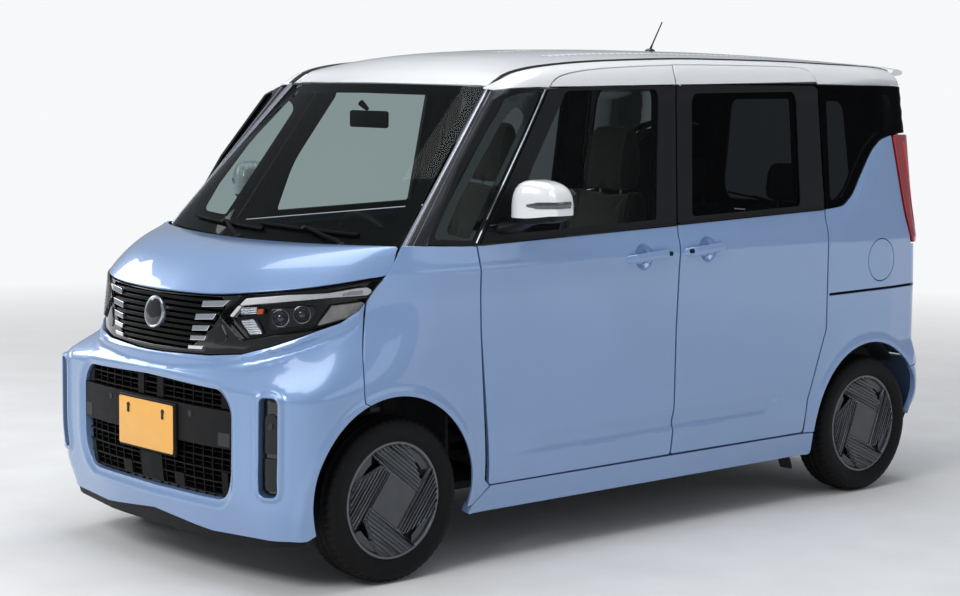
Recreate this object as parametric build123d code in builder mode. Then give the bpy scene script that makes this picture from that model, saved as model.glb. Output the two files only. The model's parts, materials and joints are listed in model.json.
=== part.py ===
from build123d import *
import os

os.makedirs("parts", exist_ok=True)

# ------------------------------------------------------------------ driving dimensions (mm)
# X runs to the car's left, Y to the rear, Z up; the origin is on the ground under the middle.
length = 3395
width = 1475
height = 1787
wheelbase = 2495
front_overhang = 510
track = 1300
ground_clearance = 140
tyre_dia = 557
tyre_width = 155
rim_seat_dia = 356

front = -length / 2
rear = length / 2
side = width / 2
plan_side = side + 3
front_axle = front + front_overhang
rear_axle_y = front_axle + wheelbase
wheel_x = track / 2
tyre_r = tyre_dia / 2
axle_z = tyre_r

# Clearances between pieces
panel_gap = 6
lid_gap = 8
running_fit = 0.05
touch_gap = 0.3
half_ditch = 3

# Walls
cover_wall = 30
trim_inset = 12
glass_inset = 18
slat_inset = 45
lamp_depth = 62

# Heights and edges shared by several panels
sill_top = 277
door_bottom = 283
bumper_step = 730
cowl_z = 1118
glass_base_y = -1262
glass_bow = 137
glass_half = 690
glass_run = 550
glass_body_shift = 45
roof_seam_x = 568
roof_rear_y = 1558
tailgate_bottom = 526
fender_seam_y = -1312
jack_x = 650
jack_y = 700
jack_z = 187
jack_pad = 44
cabin_front_y = -955

# Heights are drawn for one height of car: above the belt they move with the real one
belt = 1180
eaves = 1640
drawn_height = 1787
glass_top = 1651


def aloft(z):
    """A height as drawn, moved with the roof: in full from the eaves up, in part down to the belt."""
    share = min(max(z - belt, 0) / (eaves - belt), 1)
    return z + share * (height - drawn_height)


glass_rise = aloft(glass_top) - cowl_z

# Wheel arches
front_arch = (-1197, 285, 345)
rear_arch = (1315, 277, 338)

# Hinges: door axis x, y; hood and tailgate axes y, z
door_hinge = (722, -750)
hinge_levels = (420, 880)
hinge_tall = 40
hinge_arm = 14
hinge_pin_r = 7
hood_hinge = (-1150, 1103)
tailgate_hinge = (1576, aloft(1746))
lid_pin_r = 3
hinge_x = 415

# Running gear
hub_bore_r = 20
hub_r = 50
kingpin_x = 590
upright_x = 530
steer_sweep = 325
steer_top = 600
steer_inner_x = 405
wheelhouse_wall = 12
foot = (Align.CENTER, Align.CENTER, Align.MIN)


# ------------------------------------------------------------------ shared shapes
def outline(rows):
    """Closed outline from rows of (u, v, corner radius)."""
    points = [(u, v) for u, v, _ in rows]
    radii = [r for _, _, r in rows]
    with BuildLine() as line:
        FilletPolyline(*points, radius=radii, close=True)
    return line.line


def both_sides(half):
    """Closed outline symmetric about u = 0 from the rows of one half, first row on the axis."""
    back = [(-u, v, r) for u, v, r in reversed(half) if u > 0]
    return outline(half + back)


# Side view of the closed body: y, z, corner radius
side_view = outline(
    [
        (front + 42, ground_clearance, 20),
        (front, 400, 60),
        (front, 690, 50),
        (front + 26, bumper_step, 0),
        (front + 47, 965, 0),
        (front + 97, 1000, 60),
        (glass_base_y, cowl_z, 0),
        (-672, aloft(1688), 150),
        (-500, aloft(1738), 300),
        (-200, aloft(1774), 600),
        (300, height + 1, 2000),
        (1100, aloft(1777), 1500),
        (1565, aloft(1752), 40),
        (1632, aloft(1690), 40),
        (1655, 1100, 0),
        (rear, 600, 60),
        (rear, 420, 60),
        (1620, 262, 20),
        (1000, 195, 0),
        (-1500, 195, 0),
    ]
)

# Front view, one half: x, z, corner radius
front_view = both_sides(
    [
        (0, height + 25, 4900),
        (570, aloft(1755), 60),
        (640, aloft(1712), 30),
        (656, aloft(1640), 200),
        (718, 1140, 300),
        (side, 1030, 200),
        (side, 480, 0),
        (722, 280, 0),
        (700, 190, 0),
        (680, ground_clearance - 10, 0),
    ]
)

# Plan view of the bumper level and of everything above it, one half: x, y, corner radius
lower_plan = both_sides(
    [
        (0, front - 21, 2500),
        (640, front + 57, 110),
        (plan_side, front + 165, 90),
        (plan_side, rear - 80, 60),
        (690, rear - 6, 50),
        (300, rear + 2, 0),
    ]
)
upper_plan = both_sides(
    [
        (0, front + 8, 1500),
        (430, front + 76, 300),
        (622, front + 268, 500),
        (plan_side, front + 598, 700),
        (plan_side, 1450, 300),
        (718, 1650, 75),
        (300, 1672, 0),
    ]
)


def ahead_of_glass(shift, top):
    """Everything in front of the windshield surface, moved back by a shift along Y."""
    with BuildPart() as cut:
        with BuildSketch(Plane.XY.offset(cowl_z)):
            with BuildLine():
                ThreePointArc(
                    (-glass_half, glass_base_y + glass_bow + shift),
                    (0, glass_base_y + shift),
                    (glass_half, glass_base_y + glass_bow + shift),
                )
                Polyline(
                    (glass_half, glass_base_y + glass_bow + shift),
                    (width, glass_base_y + 3 * glass_bow + shift),
                    (width, 1.5 * front),
                    (-width, 1.5 * front),
                    (-width, glass_base_y + 3 * glass_bow + shift),
                    (-glass_half, glass_base_y + glass_bow + shift),
                )
            make_face()
        extrude(amount=top, dir=(0, glass_run, glass_rise))
    return cut.part


def hull(inset):
    """The closed body drawn in from the skin by an inset."""
    with BuildPart() as form:
        with BuildSketch():
            make_face(lower_plan)
            if inset:
                offset(amount=-inset, kind=Kind.INTERSECTION)
        extrude(amount=bumper_step - inset)
        with BuildSketch():
            make_face(upper_plan)
            if inset:
                offset(amount=-inset, kind=Kind.INTERSECTION)
        extrude(amount=height + panel_gap)
        with BuildSketch(Plane.YZ):
            make_face(side_view)
            if inset:
                offset(amount=-inset, kind=Kind.INTERSECTION)
        extrude(amount=side, both=True, mode=Mode.INTERSECT)
        with BuildSketch(Plane.XZ):
            make_face(front_view)
            if inset:
                offset(amount=-inset, kind=Kind.INTERSECTION)
        extrude(amount=length, both=True, mode=Mode.INTERSECT)
    return form.part


def cabin(inset):
    """The room inside the body, drawn in by an inset."""
    with BuildPart() as room:
        with BuildSketch(Plane.YZ):
            make_face(
                outline(
                    [
                        (cabin_front_y, sill_top, 0),
                        (cabin_front_y, cowl_z, 0),
                        (glass_base_y, cowl_z, 0),
                        (-640, aloft(1720), 0),
                        (-300, aloft(1748), 0),
                        (1540, aloft(1722), 40),
                        (1585, aloft(1650), 0),
                        (1592, sill_top, 0),
                    ]
                )
            )
            if inset:
                offset(amount=-inset, kind=Kind.INTERSECTION)
        extrude(amount=side, both=True)
        with BuildSketch(Plane.XZ):
            make_face(
                both_sides(
                    [
                        (0, aloft(1752), 8000),
                        (560, aloft(1716), 0),
                        (602, aloft(1640), 0),
                        (650, 1130, 0),
                        (662, 1030, 0),
                        (662, sill_top, 0),
                    ]
                )
            )
            if inset:
                offset(amount=-inset, kind=Kind.INTERSECTION)
        extrude(amount=length, both=True, mode=Mode.INTERSECT)
        add(ahead_of_glass(glass_body_shift + inset, 1200), mode=Mode.SUBTRACT)
    return room.part


# Zones seen from the side: y, z, corner radius
front_door_edge = [
    (-777, door_bottom, 30),
    (-824, 820, 0),
    (-833, 1108, 12),
    (-815, 1118, 0),
    (-446, aloft(1634), 40),
    (-372, aloft(1680), 60),
    (-205, aloft(1722), 60),
    (208, aloft(1727), 0),
    (208, aloft(1640), 0),
    (168, 1139, 0),
    (149, 751, 0),
    (144, door_bottom, 0),
]
sliding_door_edge = [
    (144 + panel_gap, door_bottom, 0),
    (149 + panel_gap, 751, 0),
    (168 + panel_gap, 1139, 0),
    (208 + panel_gap, aloft(1640), 0),
    (208 + panel_gap, aloft(1727), 0),
    (925, aloft(1722), 60),
    (1024, aloft(1645), 20),
    (1027, 700, 60),
    (990, 590, 60),
    (926, 420, 60),
    (913, door_bottom, 0),
]
quarter_light_edge = [
    (-1022, 1148, 8),
    (-846, 1128, 8),
    (-482, aloft(1622), 15),
    (-640, aloft(1630), 15),
]
front_window_edge = [
    (-636, 1146, 25),
    (-358, aloft(1618), 30),
    (110, aloft(1618), 25),
    (60, 1165, 25),
]
sliding_window_edge = [
    (252, 1172, 30),
    (298, aloft(1616), 25),
    (900, aloft(1620), 25),
    (856, aloft(1186), 30),
]
quarter_window_edge = [
    (1062, aloft(1202), 20),
    (1180, aloft(1225), 40),
    (1330, aloft(1402), 40),
    (1420, aloft(1466), 40),
    (1505, aloft(1480), 20),
    (1490, aloft(1612), 20),
    (1072, aloft(1615), 20),
]
fender_edge = [
    (fender_seam_y, 600, 0),
    (fender_seam_y, 888, 0),
    (-1286, 922, 0),
    (-1211, 1021, 0),
    (-1153, 1110, 0),
    (-833 - panel_gap, 1108, 0),
    (-824 - panel_gap, 820, 0),
    (-777 - panel_gap, door_bottom, 0),
    (-900, door_bottom, 0),
    (-900, 500, 0),
]
rear_bumper_edge = [
    (1540, 240, 0),
    (1596, tailgate_bottom - panel_gap, 0),
    (rear + 40, tailgate_bottom - panel_gap, 0),
    (rear + 40, 240, 0),
]

# Zones seen from the front: x, z, corner radius
windshield_edge = [(0, aloft(1650), 9000), (548, aloft(1641), 25), (664, 1130, 25), (0, 1126, 0)]
headlamp_edge = [
    (362, 900, 10),
    (462, 822, 15),
    (700, 938, 0),
    (side + 40, 960, 0),
    (side + 40, 1026, 0),
    (700, 1014, 0),
    (600, 994, 60),
    (440, 968, 60),
    (386, 940, 20),
]
upper_grille_edge = [
    (0, 766, 0),
    (440, 768, 30),
    (560, 824, 0),
    (700, 908, 0),
    (side + 40, 930, 0),
    (side + 40, 959.7, 0),
    (700, 937.7, 0),
    (462, 821.6, 15),
    (361.6, 899.8, 10),
    (385, 940, 20),
    (432, 965, 0),
    (0, 957, 0),
]
lower_grille_edge = [(0, 649.7, 0), (435.7, 649.7, 50), (461.7, 510, 60), (400.7, 282.3, 90), (0, 269.3, 0)]
lower_opening_edge = [(0, 650, 0), (436, 650, 50), (462, 510, 60), (401, 282, 90), (0, 269, 0)]
hood_edge = [
    (0, 963, 1500),
    (430, 974, 150),
    (600, 1001, 300),
    (side + 40, 1033, 0),
    (side + 40, height, 0),
]
front_bumper_edge = [
    (0, 100, 0),
    (side + 40, 100, 0),
    (side + 40, 929.7, 0),
    (700, 907.6, 0),
    (560, 823.6, 0),
    (440, 767.6, 30),
    (0, 765.7, 0),
]
body_side_edge = [
    (roof_seam_x + half_ditch, height + 20, 0),
    (roof_seam_x + half_ditch, aloft(1741.7), 0),
    (520, aloft(1741.7), 0),
    (520, aloft(1690), 0),
    (570, aloft(1600), 0),
    (600, aloft(1500), 0),
    (600, 150, 0),
    (side + 40, 150, 0),
    (side + 40, height + 20, 0),
]
roof_edge = [
    (0, height + 20, 0),
    (roof_seam_x - half_ditch, height + 20, 0),
    (roof_seam_x - half_ditch, aloft(1742), 0),
    (519.7, aloft(1742), 0),
    (519.7, aloft(1640), 0),
    (0, aloft(1640), 0),
]
tailgate_edge = [
    (0, tailgate_bottom, 0),
    (640, tailgate_bottom, 30),
    (642, 1000, 0),
    (604, aloft(1640), 0),
    (556, aloft(1800), 0),
    (0, aloft(1800), 0),
]
tailgate_window_edge = [(0, 1128, 0), (560, 1134, 50), (530, aloft(1590), 50), (0, aloft(1600), 0)]
tail_lamp_edge = [
    (648, 1010, 0),
    (side + 40, 1010, 0),
    (side + 40, aloft(1455), 0),
    (622, aloft(1455), 0),
]

skin = hull(0)
trim_hull = hull(trim_inset)
glass_hull = hull(glass_inset)
cover_hull = hull(cover_wall)
slat_hull = hull(slat_inset)
lamp_hull = hull(lamp_depth)
room = cabin(0)
seat_hull = hull(-touch_gap)
glass_front = ahead_of_glass(0, 1200)


def wall_between(outer, inner):
    """Material between two nested forms, cut back to the windshield surface."""
    with BuildPart() as wall:
        add(outer)
        add(inner, mode=Mode.SUBTRACT)
        add(glass_front, mode=Mode.SUBTRACT)
    return wall.part


with BuildPart() as under_hood:
    add(cover_hull)
    with BuildSketch():
        Rectangle(width, 2 * length)
    extrude(amount=cowl_z - cover_wall, mode=Mode.INTERSECT)

body_wall = wall_between(skin, room)
hood_shell = wall_between(skin, under_hood.part)
cover_shell = wall_between(skin, cover_hull)
glass_shell = wall_between(trim_hull, glass_hull)
lamp_shell = wall_between(skin, lamp_hull)


def arch_cut(arch, extra):
    """Cylinder across the car that opens a pair of wheel arches."""
    y, z, r = arch
    with BuildPart() as cut:
        with BuildSketch(Plane.YZ):
            with Locations((y, z)):
                Circle(r + extra)
        extrude(amount=width, both=True)
    return cut.part


front_arch_cut = arch_cut(front_arch, 0)
rear_arch_cut = arch_cut(rear_arch, 0)


def side_piece(wall, rows, from_x, grow):
    """The part of a wall inside a side-view zone, on the left from a given x outward."""
    zone = outline(rows)
    with BuildPart() as piece:
        add(wall)
        with BuildSketch(Plane.YZ.offset(from_x)):
            make_face(zone)
            if grow:
                offset(amount=grow, kind=Kind.INTERSECTION)
        extrude(amount=width, mode=Mode.INTERSECT)
    return piece.part


def front_piece(wall, zone, y_from, y_to):
    """The part of a wall inside a front-view zone between two stations along Y."""
    with BuildPart() as piece:
        add(wall)
        with BuildSketch(Plane.XZ.offset(-y_from)):
            make_face(zone)
        extrude(amount=y_from - y_to, mode=Mode.INTERSECT)
    return piece.part


def side_prism(rows, from_x, grow):
    """Straight body outward from a given x over a side-view zone."""
    zone = outline(rows)
    with BuildPart() as piece:
        with BuildSketch(Plane.YZ.offset(from_x)):
            make_face(zone)
            if grow:
                offset(amount=grow, kind=Kind.INTERSECTION)
        extrude(amount=width)
    return piece.part


def front_prism(zone, y_from, y_to, grow):
    """Straight body between two stations along Y over a front-view zone."""
    with BuildPart() as piece:
        with BuildSketch(Plane.XZ.offset(-y_from)):
            make_face(zone)
            if grow:
                offset(amount=grow, kind=Kind.INTERSECTION)
        extrude(amount=y_from - y_to)
    return piece.part


def block(xs, ys, zs, mode=Mode.ADD):
    """Box between two stations on each axis."""
    spans = (xs, ys, zs)
    with Locations(tuple((low + high) / 2 for low, high in spans)):
        Box(*[high - low for low, high in spans], mode=mode)


def mirrored(piece):
    """The same piece on the other side of the car."""
    return mirror(piece, about=Plane.YZ)


# ------------------------------------------------------------------ body sides
door_inner_x = roof_seam_x + 9
opening_cut = side_prism(front_door_edge, roof_seam_x, panel_gap)
sliding_cut = side_prism(sliding_door_edge, roof_seam_x, panel_gap)
quarter_light_cut = side_prism(quarter_light_edge, roof_seam_x - 60, 0)
quarter_window_cut = side_prism(quarter_window_edge, roof_seam_x - 60, 0)
windshield_cut = front_prism(both_sides(windshield_edge), -1320, -480, touch_gap)
tailgate_cut = front_prism(both_sides(tailgate_edge), roof_rear_y + 2, rear + 60, panel_gap)
tail_lamp_cut = front_prism(outline(tail_lamp_edge), 1540, rear + 60, touch_gap)
bumper_cut = side_prism(rear_bumper_edge, 0, touch_gap)
fender_cut = side_prism(fender_edge, 0, touch_gap)
pillar_wall = {"outer": cabin(5), "inner": cabin(42)}

with BuildPart() as hinge_post:
    block((604, 688), (-868, -842), (200, 1000))
    block((604, side - cover_wall - touch_gap), (-868, -842), (500, 1000))
    block((604, 688), (-868, -842), (1000, 1130))
    for z in hinge_levels:
        block((604, 622), (-868, door_hinge[1] + hinge_arm / 2), (z, z + hinge_tall))
        block(
            (604, door_hinge[0]),
            (door_hinge[1] - hinge_arm / 2, door_hinge[1] + hinge_arm / 2),
            (z, z + hinge_tall),
        )
        with Locations((*door_hinge, z + hinge_tall / 2)):
            Cylinder(hinge_pin_r, 2 * hinge_tall)

with BuildPart() as door_hinge_room:
    for z in hinge_levels:
        block(
            (604, door_hinge[0] + hinge_pin_r + 1.5),
            (-880, door_hinge[1] + hinge_pin_r + 7),
            (z - touch_gap, z + hinge_tall + touch_gap),
        )
        with Locations((*door_hinge, z + hinge_tall / 2)):
            Cylinder(hinge_pin_r + running_fit, 2 * hinge_tall + 2)

with BuildPart() as centre_pillar:
    add(pillar_wall["outer"])
    add(pillar_wall["inner"], mode=Mode.SUBTRACT)
    with BuildSketch(Plane.YZ.offset(520)):
        with Locations((190, height / 2)):
            Rectangle(130, height)
    extrude(amount=side, mode=Mode.INTERSECT)
    block((622, 656), (125, 255), (240, 300))
    block((532, 564), (125, 255), (aloft(1690), aloft(1728)))
    block((640, 662 - touch_gap), (205, 240), (660, 720))
    block((670, 710), (300, 850), (260, door_bottom - touch_gap))

with BuildPart() as body_side_left:
    add(front_piece(body_wall, outline(body_side_edge), -1150, 1720))
    block((0, width), (-1200, -868), (100, cowl_z + 4), mode=Mode.SUBTRACT)
    block((0, width), (-868, -836), (sill_top, cowl_z + 4), mode=Mode.SUBTRACT)
    for cut in (
        opening_cut,
        sliding_cut,
        quarter_light_cut,
        quarter_window_cut,
        windshield_cut,
        tailgate_cut,
        tail_lamp_cut,
        bumper_cut,
        fender_cut,
        front_arch_cut,
        rear_arch_cut,
    ):
        add(cut, mode=Mode.SUBTRACT)
    add(hinge_post.part)
    add(centre_pillar.part)
    for y in (-jack_y, jack_y):
        block(
            (jack_x - jack_pad / 2, jack_x + jack_pad / 2),
            (y - jack_pad, y + jack_pad),
            (jack_z, jack_z + 12),
        )
body_side_left.part.label = "body_side_left"
export_step(body_side_left.part, "parts/body_side_left.step")

with BuildPart() as body_side_right:
    add(mirrored(body_side_left.part))
body_side_right.part.label = "body_side_right"
export_step(body_side_right.part, "parts/body_side_right.step")

# ------------------------------------------------------------------ roof
with BuildPart() as roof_panel:
    add(front_piece(body_wall, both_sides(roof_edge[::-1]), -900, roof_rear_y))
    add(windshield_cut, mode=Mode.SUBTRACT)
    for x in (-hinge_x, hinge_x):
        block((x - 15, x + 15), (1535, tailgate_hinge[0]), (aloft(1739), aloft(1749.5)))
        with Locations((x, *tailgate_hinge)):
            Cylinder(lid_pin_r, 60, rotation=(0, 90, 0))
roof_panel.part.label = "roof_panel"
export_step(roof_panel.part, "parts/roof_panel.step")

# ------------------------------------------------------------------ doors
with BuildPart() as front_door_left:
    add(side_piece(body_wall, front_door_edge, door_inner_x, 0))
    add(side_prism(front_window_edge, 0, 0), mode=Mode.SUBTRACT)
    add(door_hinge_room.part, mode=Mode.SUBTRACT)
front_door_left.part.label = "front_door_left"
export_step(front_door_left.part, "parts/front_door_left.step")

with BuildPart() as front_door_right:
    add(mirrored(front_door_left.part))
front_door_right.part.label = "front_door_right"
export_step(front_door_right.part, "parts/front_door_right.step")

with BuildPart() as sliding_door_left:
    add(side_piece(body_wall, sliding_door_edge, door_inner_x, 0))
    add(side_prism(sliding_window_edge, 0, 0), mode=Mode.SUBTRACT)
sliding_door_left.part.label = "sliding_door_left"
export_step(sliding_door_left.part, "parts/sliding_door_left.step")

with BuildPart() as sliding_door_right:
    add(mirrored(sliding_door_left.part))
sliding_door_right.part.label = "sliding_door_right"
export_step(sliding_door_right.part, "parts/sliding_door_right.step")

# ------------------------------------------------------------------ tailgate
with BuildPart() as tailgate:
    add(front_piece(body_wall, both_sides(tailgate_edge), roof_rear_y + lid_gap, rear + 60))
    add(front_prism(both_sides(tailgate_window_edge), 1500, rear + 60, 0), mode=Mode.SUBTRACT)
    for x in (-hinge_x, hinge_x):
        block(
            (x - 15 - touch_gap, x + 15 + touch_gap),
            (1540, tailgate_hinge[0] + 7),
            (aloft(1735), aloft(1770)),
            mode=Mode.SUBTRACT,
        )
        with Locations((x, *tailgate_hinge)):
            Cylinder(lid_pin_r + running_fit, 62, rotation=(0, 90, 0), mode=Mode.SUBTRACT)
tailgate.part.label = "tailgate"
export_step(tailgate.part, "parts/tailgate.step")

# ------------------------------------------------------------------ hood, fenders and bumpers
with BuildPart() as hood:
    add(front_piece(hood_shell, both_sides(hood_edge), front - 10, -1100))
    with BuildSketch():
        with BuildLine():
            ThreePointArc(
                (-side, glass_base_y + glass_bow - 10),
                (0, glass_base_y - 22),
                (side, glass_base_y + glass_bow - 10),
            )
            Polyline(
                (side, glass_base_y + glass_bow - 10),
                (side, front),
                (-side, front),
                (-side, glass_base_y + glass_bow - 10),
            )
        make_face()
    extrude(amount=height, mode=Mode.INTERSECT)
    with BuildSketch(Plane.YZ):
        make_face(
            outline(
                [
                    (front - 10, 900, 0),
                    (front - 10, 1200, 0),
                    (-1156, 1200, 0),
                    (-1156, 1119, 0),
                    (-1219, 1021, 0),
                    (-1270, 950, 0),
                ]
            )
        )
    extrude(amount=side, both=True, mode=Mode.INTERSECT)
    for x in (-647, 647):
        block((x - 7, x + 7), (-1215, hood_hinge[0] + 8), (hood_hinge[1] - 9, hood_hinge[1] + 9))
        with Locations((x, *hood_hinge)):
            Cylinder(5 + running_fit, 20, rotation=(0, 90, 0), mode=Mode.SUBTRACT)
hood.part.label = "hood"
export_step(hood.part, "parts/hood.step")

with BuildPart() as fender:
    add(side_piece(cover_shell, fender_edge, 688, 0))
    add(front_arch_cut, mode=Mode.SUBTRACT)

with BuildPart() as front_fenders:
    add(fender.part)
    add(mirrored(fender.part))
front_fenders.part.label = "front_fenders"
export_step(front_fenders.part, "parts/front_fenders.step")

with BuildPart() as front_bumper:
    add(
        front_piece(
            cover_shell, both_sides(front_bumper_edge), front - 10, fender_seam_y - touch_gap
        )
    )
    add(front_prism(both_sides(lower_opening_edge), front - 10, -1500, 0), mode=Mode.SUBTRACT)
    add(front_arch_cut, mode=Mode.SUBTRACT)
    block((-560, 560), (-1560, -1300), (100, 260), mode=Mode.SUBTRACT)
front_bumper.part.label = "front_bumper"
export_step(front_bumper.part, "parts/front_bumper.step")

with BuildPart() as rear_bumper:
    add(cover_shell)
    with BuildSketch(Plane.YZ):
        make_face(outline(rear_bumper_edge))
    extrude(amount=side, both=True, mode=Mode.INTERSECT)
    add(rear_arch_cut, mode=Mode.SUBTRACT)
rear_bumper.part.label = "rear_bumper"
export_step(rear_bumper.part, "parts/rear_bumper.step")

# ------------------------------------------------------------------ lamps and grilles
lamp_back_edge = [
    (front - 10, 700, 0),
    (front - 10, 1100, 0),
    (-1170, 1100, 0),
    (-1219, 1021, 0),
    (-1290, 926, 0),
    (-1400, 700, 0),
]
with BuildPart() as headlamp:
    add(front_piece(lamp_shell, outline(headlamp_edge), front - 10, -1150))
    with BuildSketch(Plane.YZ):
        make_face(outline(lamp_back_edge))
    extrude(amount=width, mode=Mode.INTERSECT)

with BuildPart() as headlamps:
    add(headlamp.part)
    add(mirrored(headlamp.part))
headlamps.part.label = "headlamps"
export_step(headlamps.part, "parts/headlamps.step")

with BuildPart() as tail_lamp:
    add(front_piece(cover_shell, outline(tail_lamp_edge), 1560, rear + 60))

with BuildPart() as tail_lamps:
    add(tail_lamp.part)
    add(mirrored(tail_lamp.part))
tail_lamps.part.label = "tail_lamps"
export_step(tail_lamps.part, "parts/tail_lamps.step")

grille_wall = wall_between(trim_hull, lamp_hull)
slat_pocket_wall = wall_between(trim_hull, slat_hull)
upper_slats = [(790, 20), (828, 20), (866, 20), (906, 22)]
lower_slats = [(322, 34), (378, 34), (434, 34), (606, 34)]

with BuildPart() as slat_pockets:
    add(slat_pocket_wall)
    with BuildSketch(Plane.XZ.offset(-front)):
        for z, tall in upper_slats:
            with Locations((0, z)):
                Rectangle(500, tall)
        for z, tall in lower_slats:
            with Locations((0, z)):
                Rectangle(720, tall)
    extrude(amount=-400, mode=Mode.INTERSECT)

plate_z = 493
plate_size = (330, 3, 165)
plate_bolt_spacing = 210
plate_bolt_r = 3.5
plate_bolt_z = plate_z + 60

with BuildPart() as grilles:
    add(front_piece(grille_wall, both_sides(upper_grille_edge), front - 10, -1290))
    add(front_piece(grille_wall, both_sides(lower_grille_edge), front - 10, -1500))
    add(slat_pockets.part, mode=Mode.SUBTRACT)
    block((-150, 150), (front + 8, front + 40), (520, 566))
    with BuildSketch(Plane.XZ.offset(-front)):
        with Locations((-plate_bolt_spacing / 2, plate_bolt_z), (plate_bolt_spacing / 2, plate_bolt_z)):
            Circle(plate_bolt_r)
    extrude(amount=-26, mode=Mode.SUBTRACT)
grilles.part.label = "grilles"
export_step(grilles.part, "parts/grilles.step")

with BuildPart() as front_plate:
    with Locations((0, front + 8 - touch_gap - plate_size[1] / 2, plate_z)):
        Box(*plate_size)
    with BuildSketch(Plane.XZ.offset(-front)):
        with Locations((-plate_bolt_spacing / 2, plate_bolt_z), (plate_bolt_spacing / 2, plate_bolt_z)):
            Circle(plate_bolt_r)
    extrude(amount=-26, mode=Mode.SUBTRACT)
front_plate.part.label = "front_plate"
export_step(front_plate.part, "parts/front_plate.step")

rear_plate_z = 800
rear_plate_y = 1685
plate_pad_y = 1674
with BuildPart() as rear_plate:
    with Locations((0, rear_plate_y - plate_size[1] / 2, rear_plate_z)):
        Box(*plate_size)
    block((-120, 120), (plate_pad_y - 20, rear_plate_y - plate_size[1]), (770, 830))
    add(seat_hull, mode=Mode.SUBTRACT)
    with BuildSketch(Plane.XZ.offset(-rear)):
        with Locations(
            (-plate_bolt_spacing / 2, rear_plate_z + 60), (plate_bolt_spacing / 2, rear_plate_z + 60)
        ):
            Circle(plate_bolt_r)
    extrude(amount=40, both=True, mode=Mode.SUBTRACT)
rear_plate.part.label = "rear_plate"
export_step(rear_plate.part, "parts/rear_plate.step")

# ------------------------------------------------------------------ glass
with BuildPart() as windshield:
    add(ahead_of_glass(9, 1200))
    add(ahead_of_glass(3, 1250), mode=Mode.SUBTRACT)
    with BuildSketch(Plane.XZ.offset(1320)):
        make_face(both_sides(windshield_edge))
    extrude(amount=-840, mode=Mode.INTERSECT)
windshield.part.label = "windshield"
export_step(windshield.part, "parts/windshield.step")

with BuildPart() as front_door_glass_left:
    add(side_piece(glass_shell, front_window_edge, 400, -touch_gap))
front_door_glass_left.part.label = "front_door_glass_left"
export_step(front_door_glass_left.part, "parts/front_door_glass_left.step")

with BuildPart() as front_door_glass_right:
    add(mirrored(front_door_glass_left.part))
front_door_glass_right.part.label = "front_door_glass_right"
export_step(front_door_glass_right.part, "parts/front_door_glass_right.step")

with BuildPart() as fixed_side_glass:
    for rows in (quarter_light_edge, sliding_window_edge, quarter_window_edge):
        pane = side_piece(glass_shell, rows, 400, -touch_gap)
        add(pane)
        add(mirrored(pane))
fixed_side_glass.part.label = "fixed_side_glass"
export_step(fixed_side_glass.part, "parts/fixed_side_glass.step")

with BuildPart() as tailgate_glass:
    add(glass_shell)
    with BuildSketch(Plane.XZ.offset(-1500)):
        make_face(both_sides(tailgate_window_edge))
        offset(amount=-touch_gap, kind=Kind.INTERSECTION)
    extrude(amount=-300, mode=Mode.INTERSECT)
tailgate_glass.part.label = "tailgate_glass"
export_step(tailgate_glass.part, "parts/tailgate_glass.step")

# ------------------------------------------------------------------ mirrors, wipers and antenna
with BuildPart() as mirror_left:
    block((758, 928), (-742, -636), (1205, 1335))
    fillet(mirror_left.edges().filter_by(Axis.Z), 38)
    fillet(mirror_left.edges().filter_by(lambda e: e.geom_type != GeomType.LINE), 25)
    block((700, 800), (-738, -694), (1178, 1206))
    add(seat_hull, mode=Mode.SUBTRACT)
    block((758, 800), (-738, -694), (1200, 1225))
mirror_left.part.label = "mirror_left"
export_step(mirror_left.part, "parts/mirror_left.step")

with BuildPart() as mirror_right:
    add(mirrored(mirror_left.part))
mirror_right.part.label = "mirror_right"
export_step(mirror_right.part, "parts/mirror_right.step")

# Wiper blades lying along the foot of the windshield: x and z of both ends
wiper_rows = [(500, 1136, 20, 1150), (60, 1134, -440, 1150)]
with BuildPart() as front_wipers:
    add(ahead_of_glass(2.6, 1200))
    add(ahead_of_glass(-13, 1250), mode=Mode.SUBTRACT)
    with BuildSketch(Plane.XZ.offset(1320)):
        for x0, z0, x1, z1 in wiper_rows:
            with BuildLine():
                Polyline((x0, z0), (x1, z1), (x1, z1 + 14), (x0, z0 + 14), close=True)
            make_face()
    extrude(amount=-840, mode=Mode.INTERSECT)
front_wipers.part.label = "front_wipers"
export_step(front_wipers.part, "parts/front_wipers.step")

with BuildPart() as antenna:
    with BuildSketch(Plane.XY.offset(aloft(1779))) as antenna_foot:
        with Locations((0, 757)):
            Ellipse(16, 26)
    extrude(amount=18, taper=15)
    with Locations(Plane(origin=(0, 757, aloft(1790)), z_dir=(0, 0.5, 0.87))):
        Cylinder(4, 134, align=(Align.CENTER, Align.CENTER, Align.MIN))
    add(seat_hull, mode=Mode.SUBTRACT)
antenna.part.label = "antenna"
export_step(antenna.part, "parts/antenna.step")

# ------------------------------------------------------------------ floor and front inner body
with BuildPart() as steer_room:
    with Locations((kingpin_x, front_axle)):
        Cylinder(steer_sweep, steer_top, align=foot)
    block((steer_inner_x, 700), (-1600, 0), (0, height), mode=Mode.INTERSECT)

with BuildPart() as steer_house:
    with Locations((kingpin_x, front_axle)):
        Cylinder(steer_sweep + wheelhouse_wall, steer_top + wheelhouse_wall, align=foot)
    block((steer_inner_x - wheelhouse_wall, 599.7), (-982, 0), (250, height), mode=Mode.INTERSECT)

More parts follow.
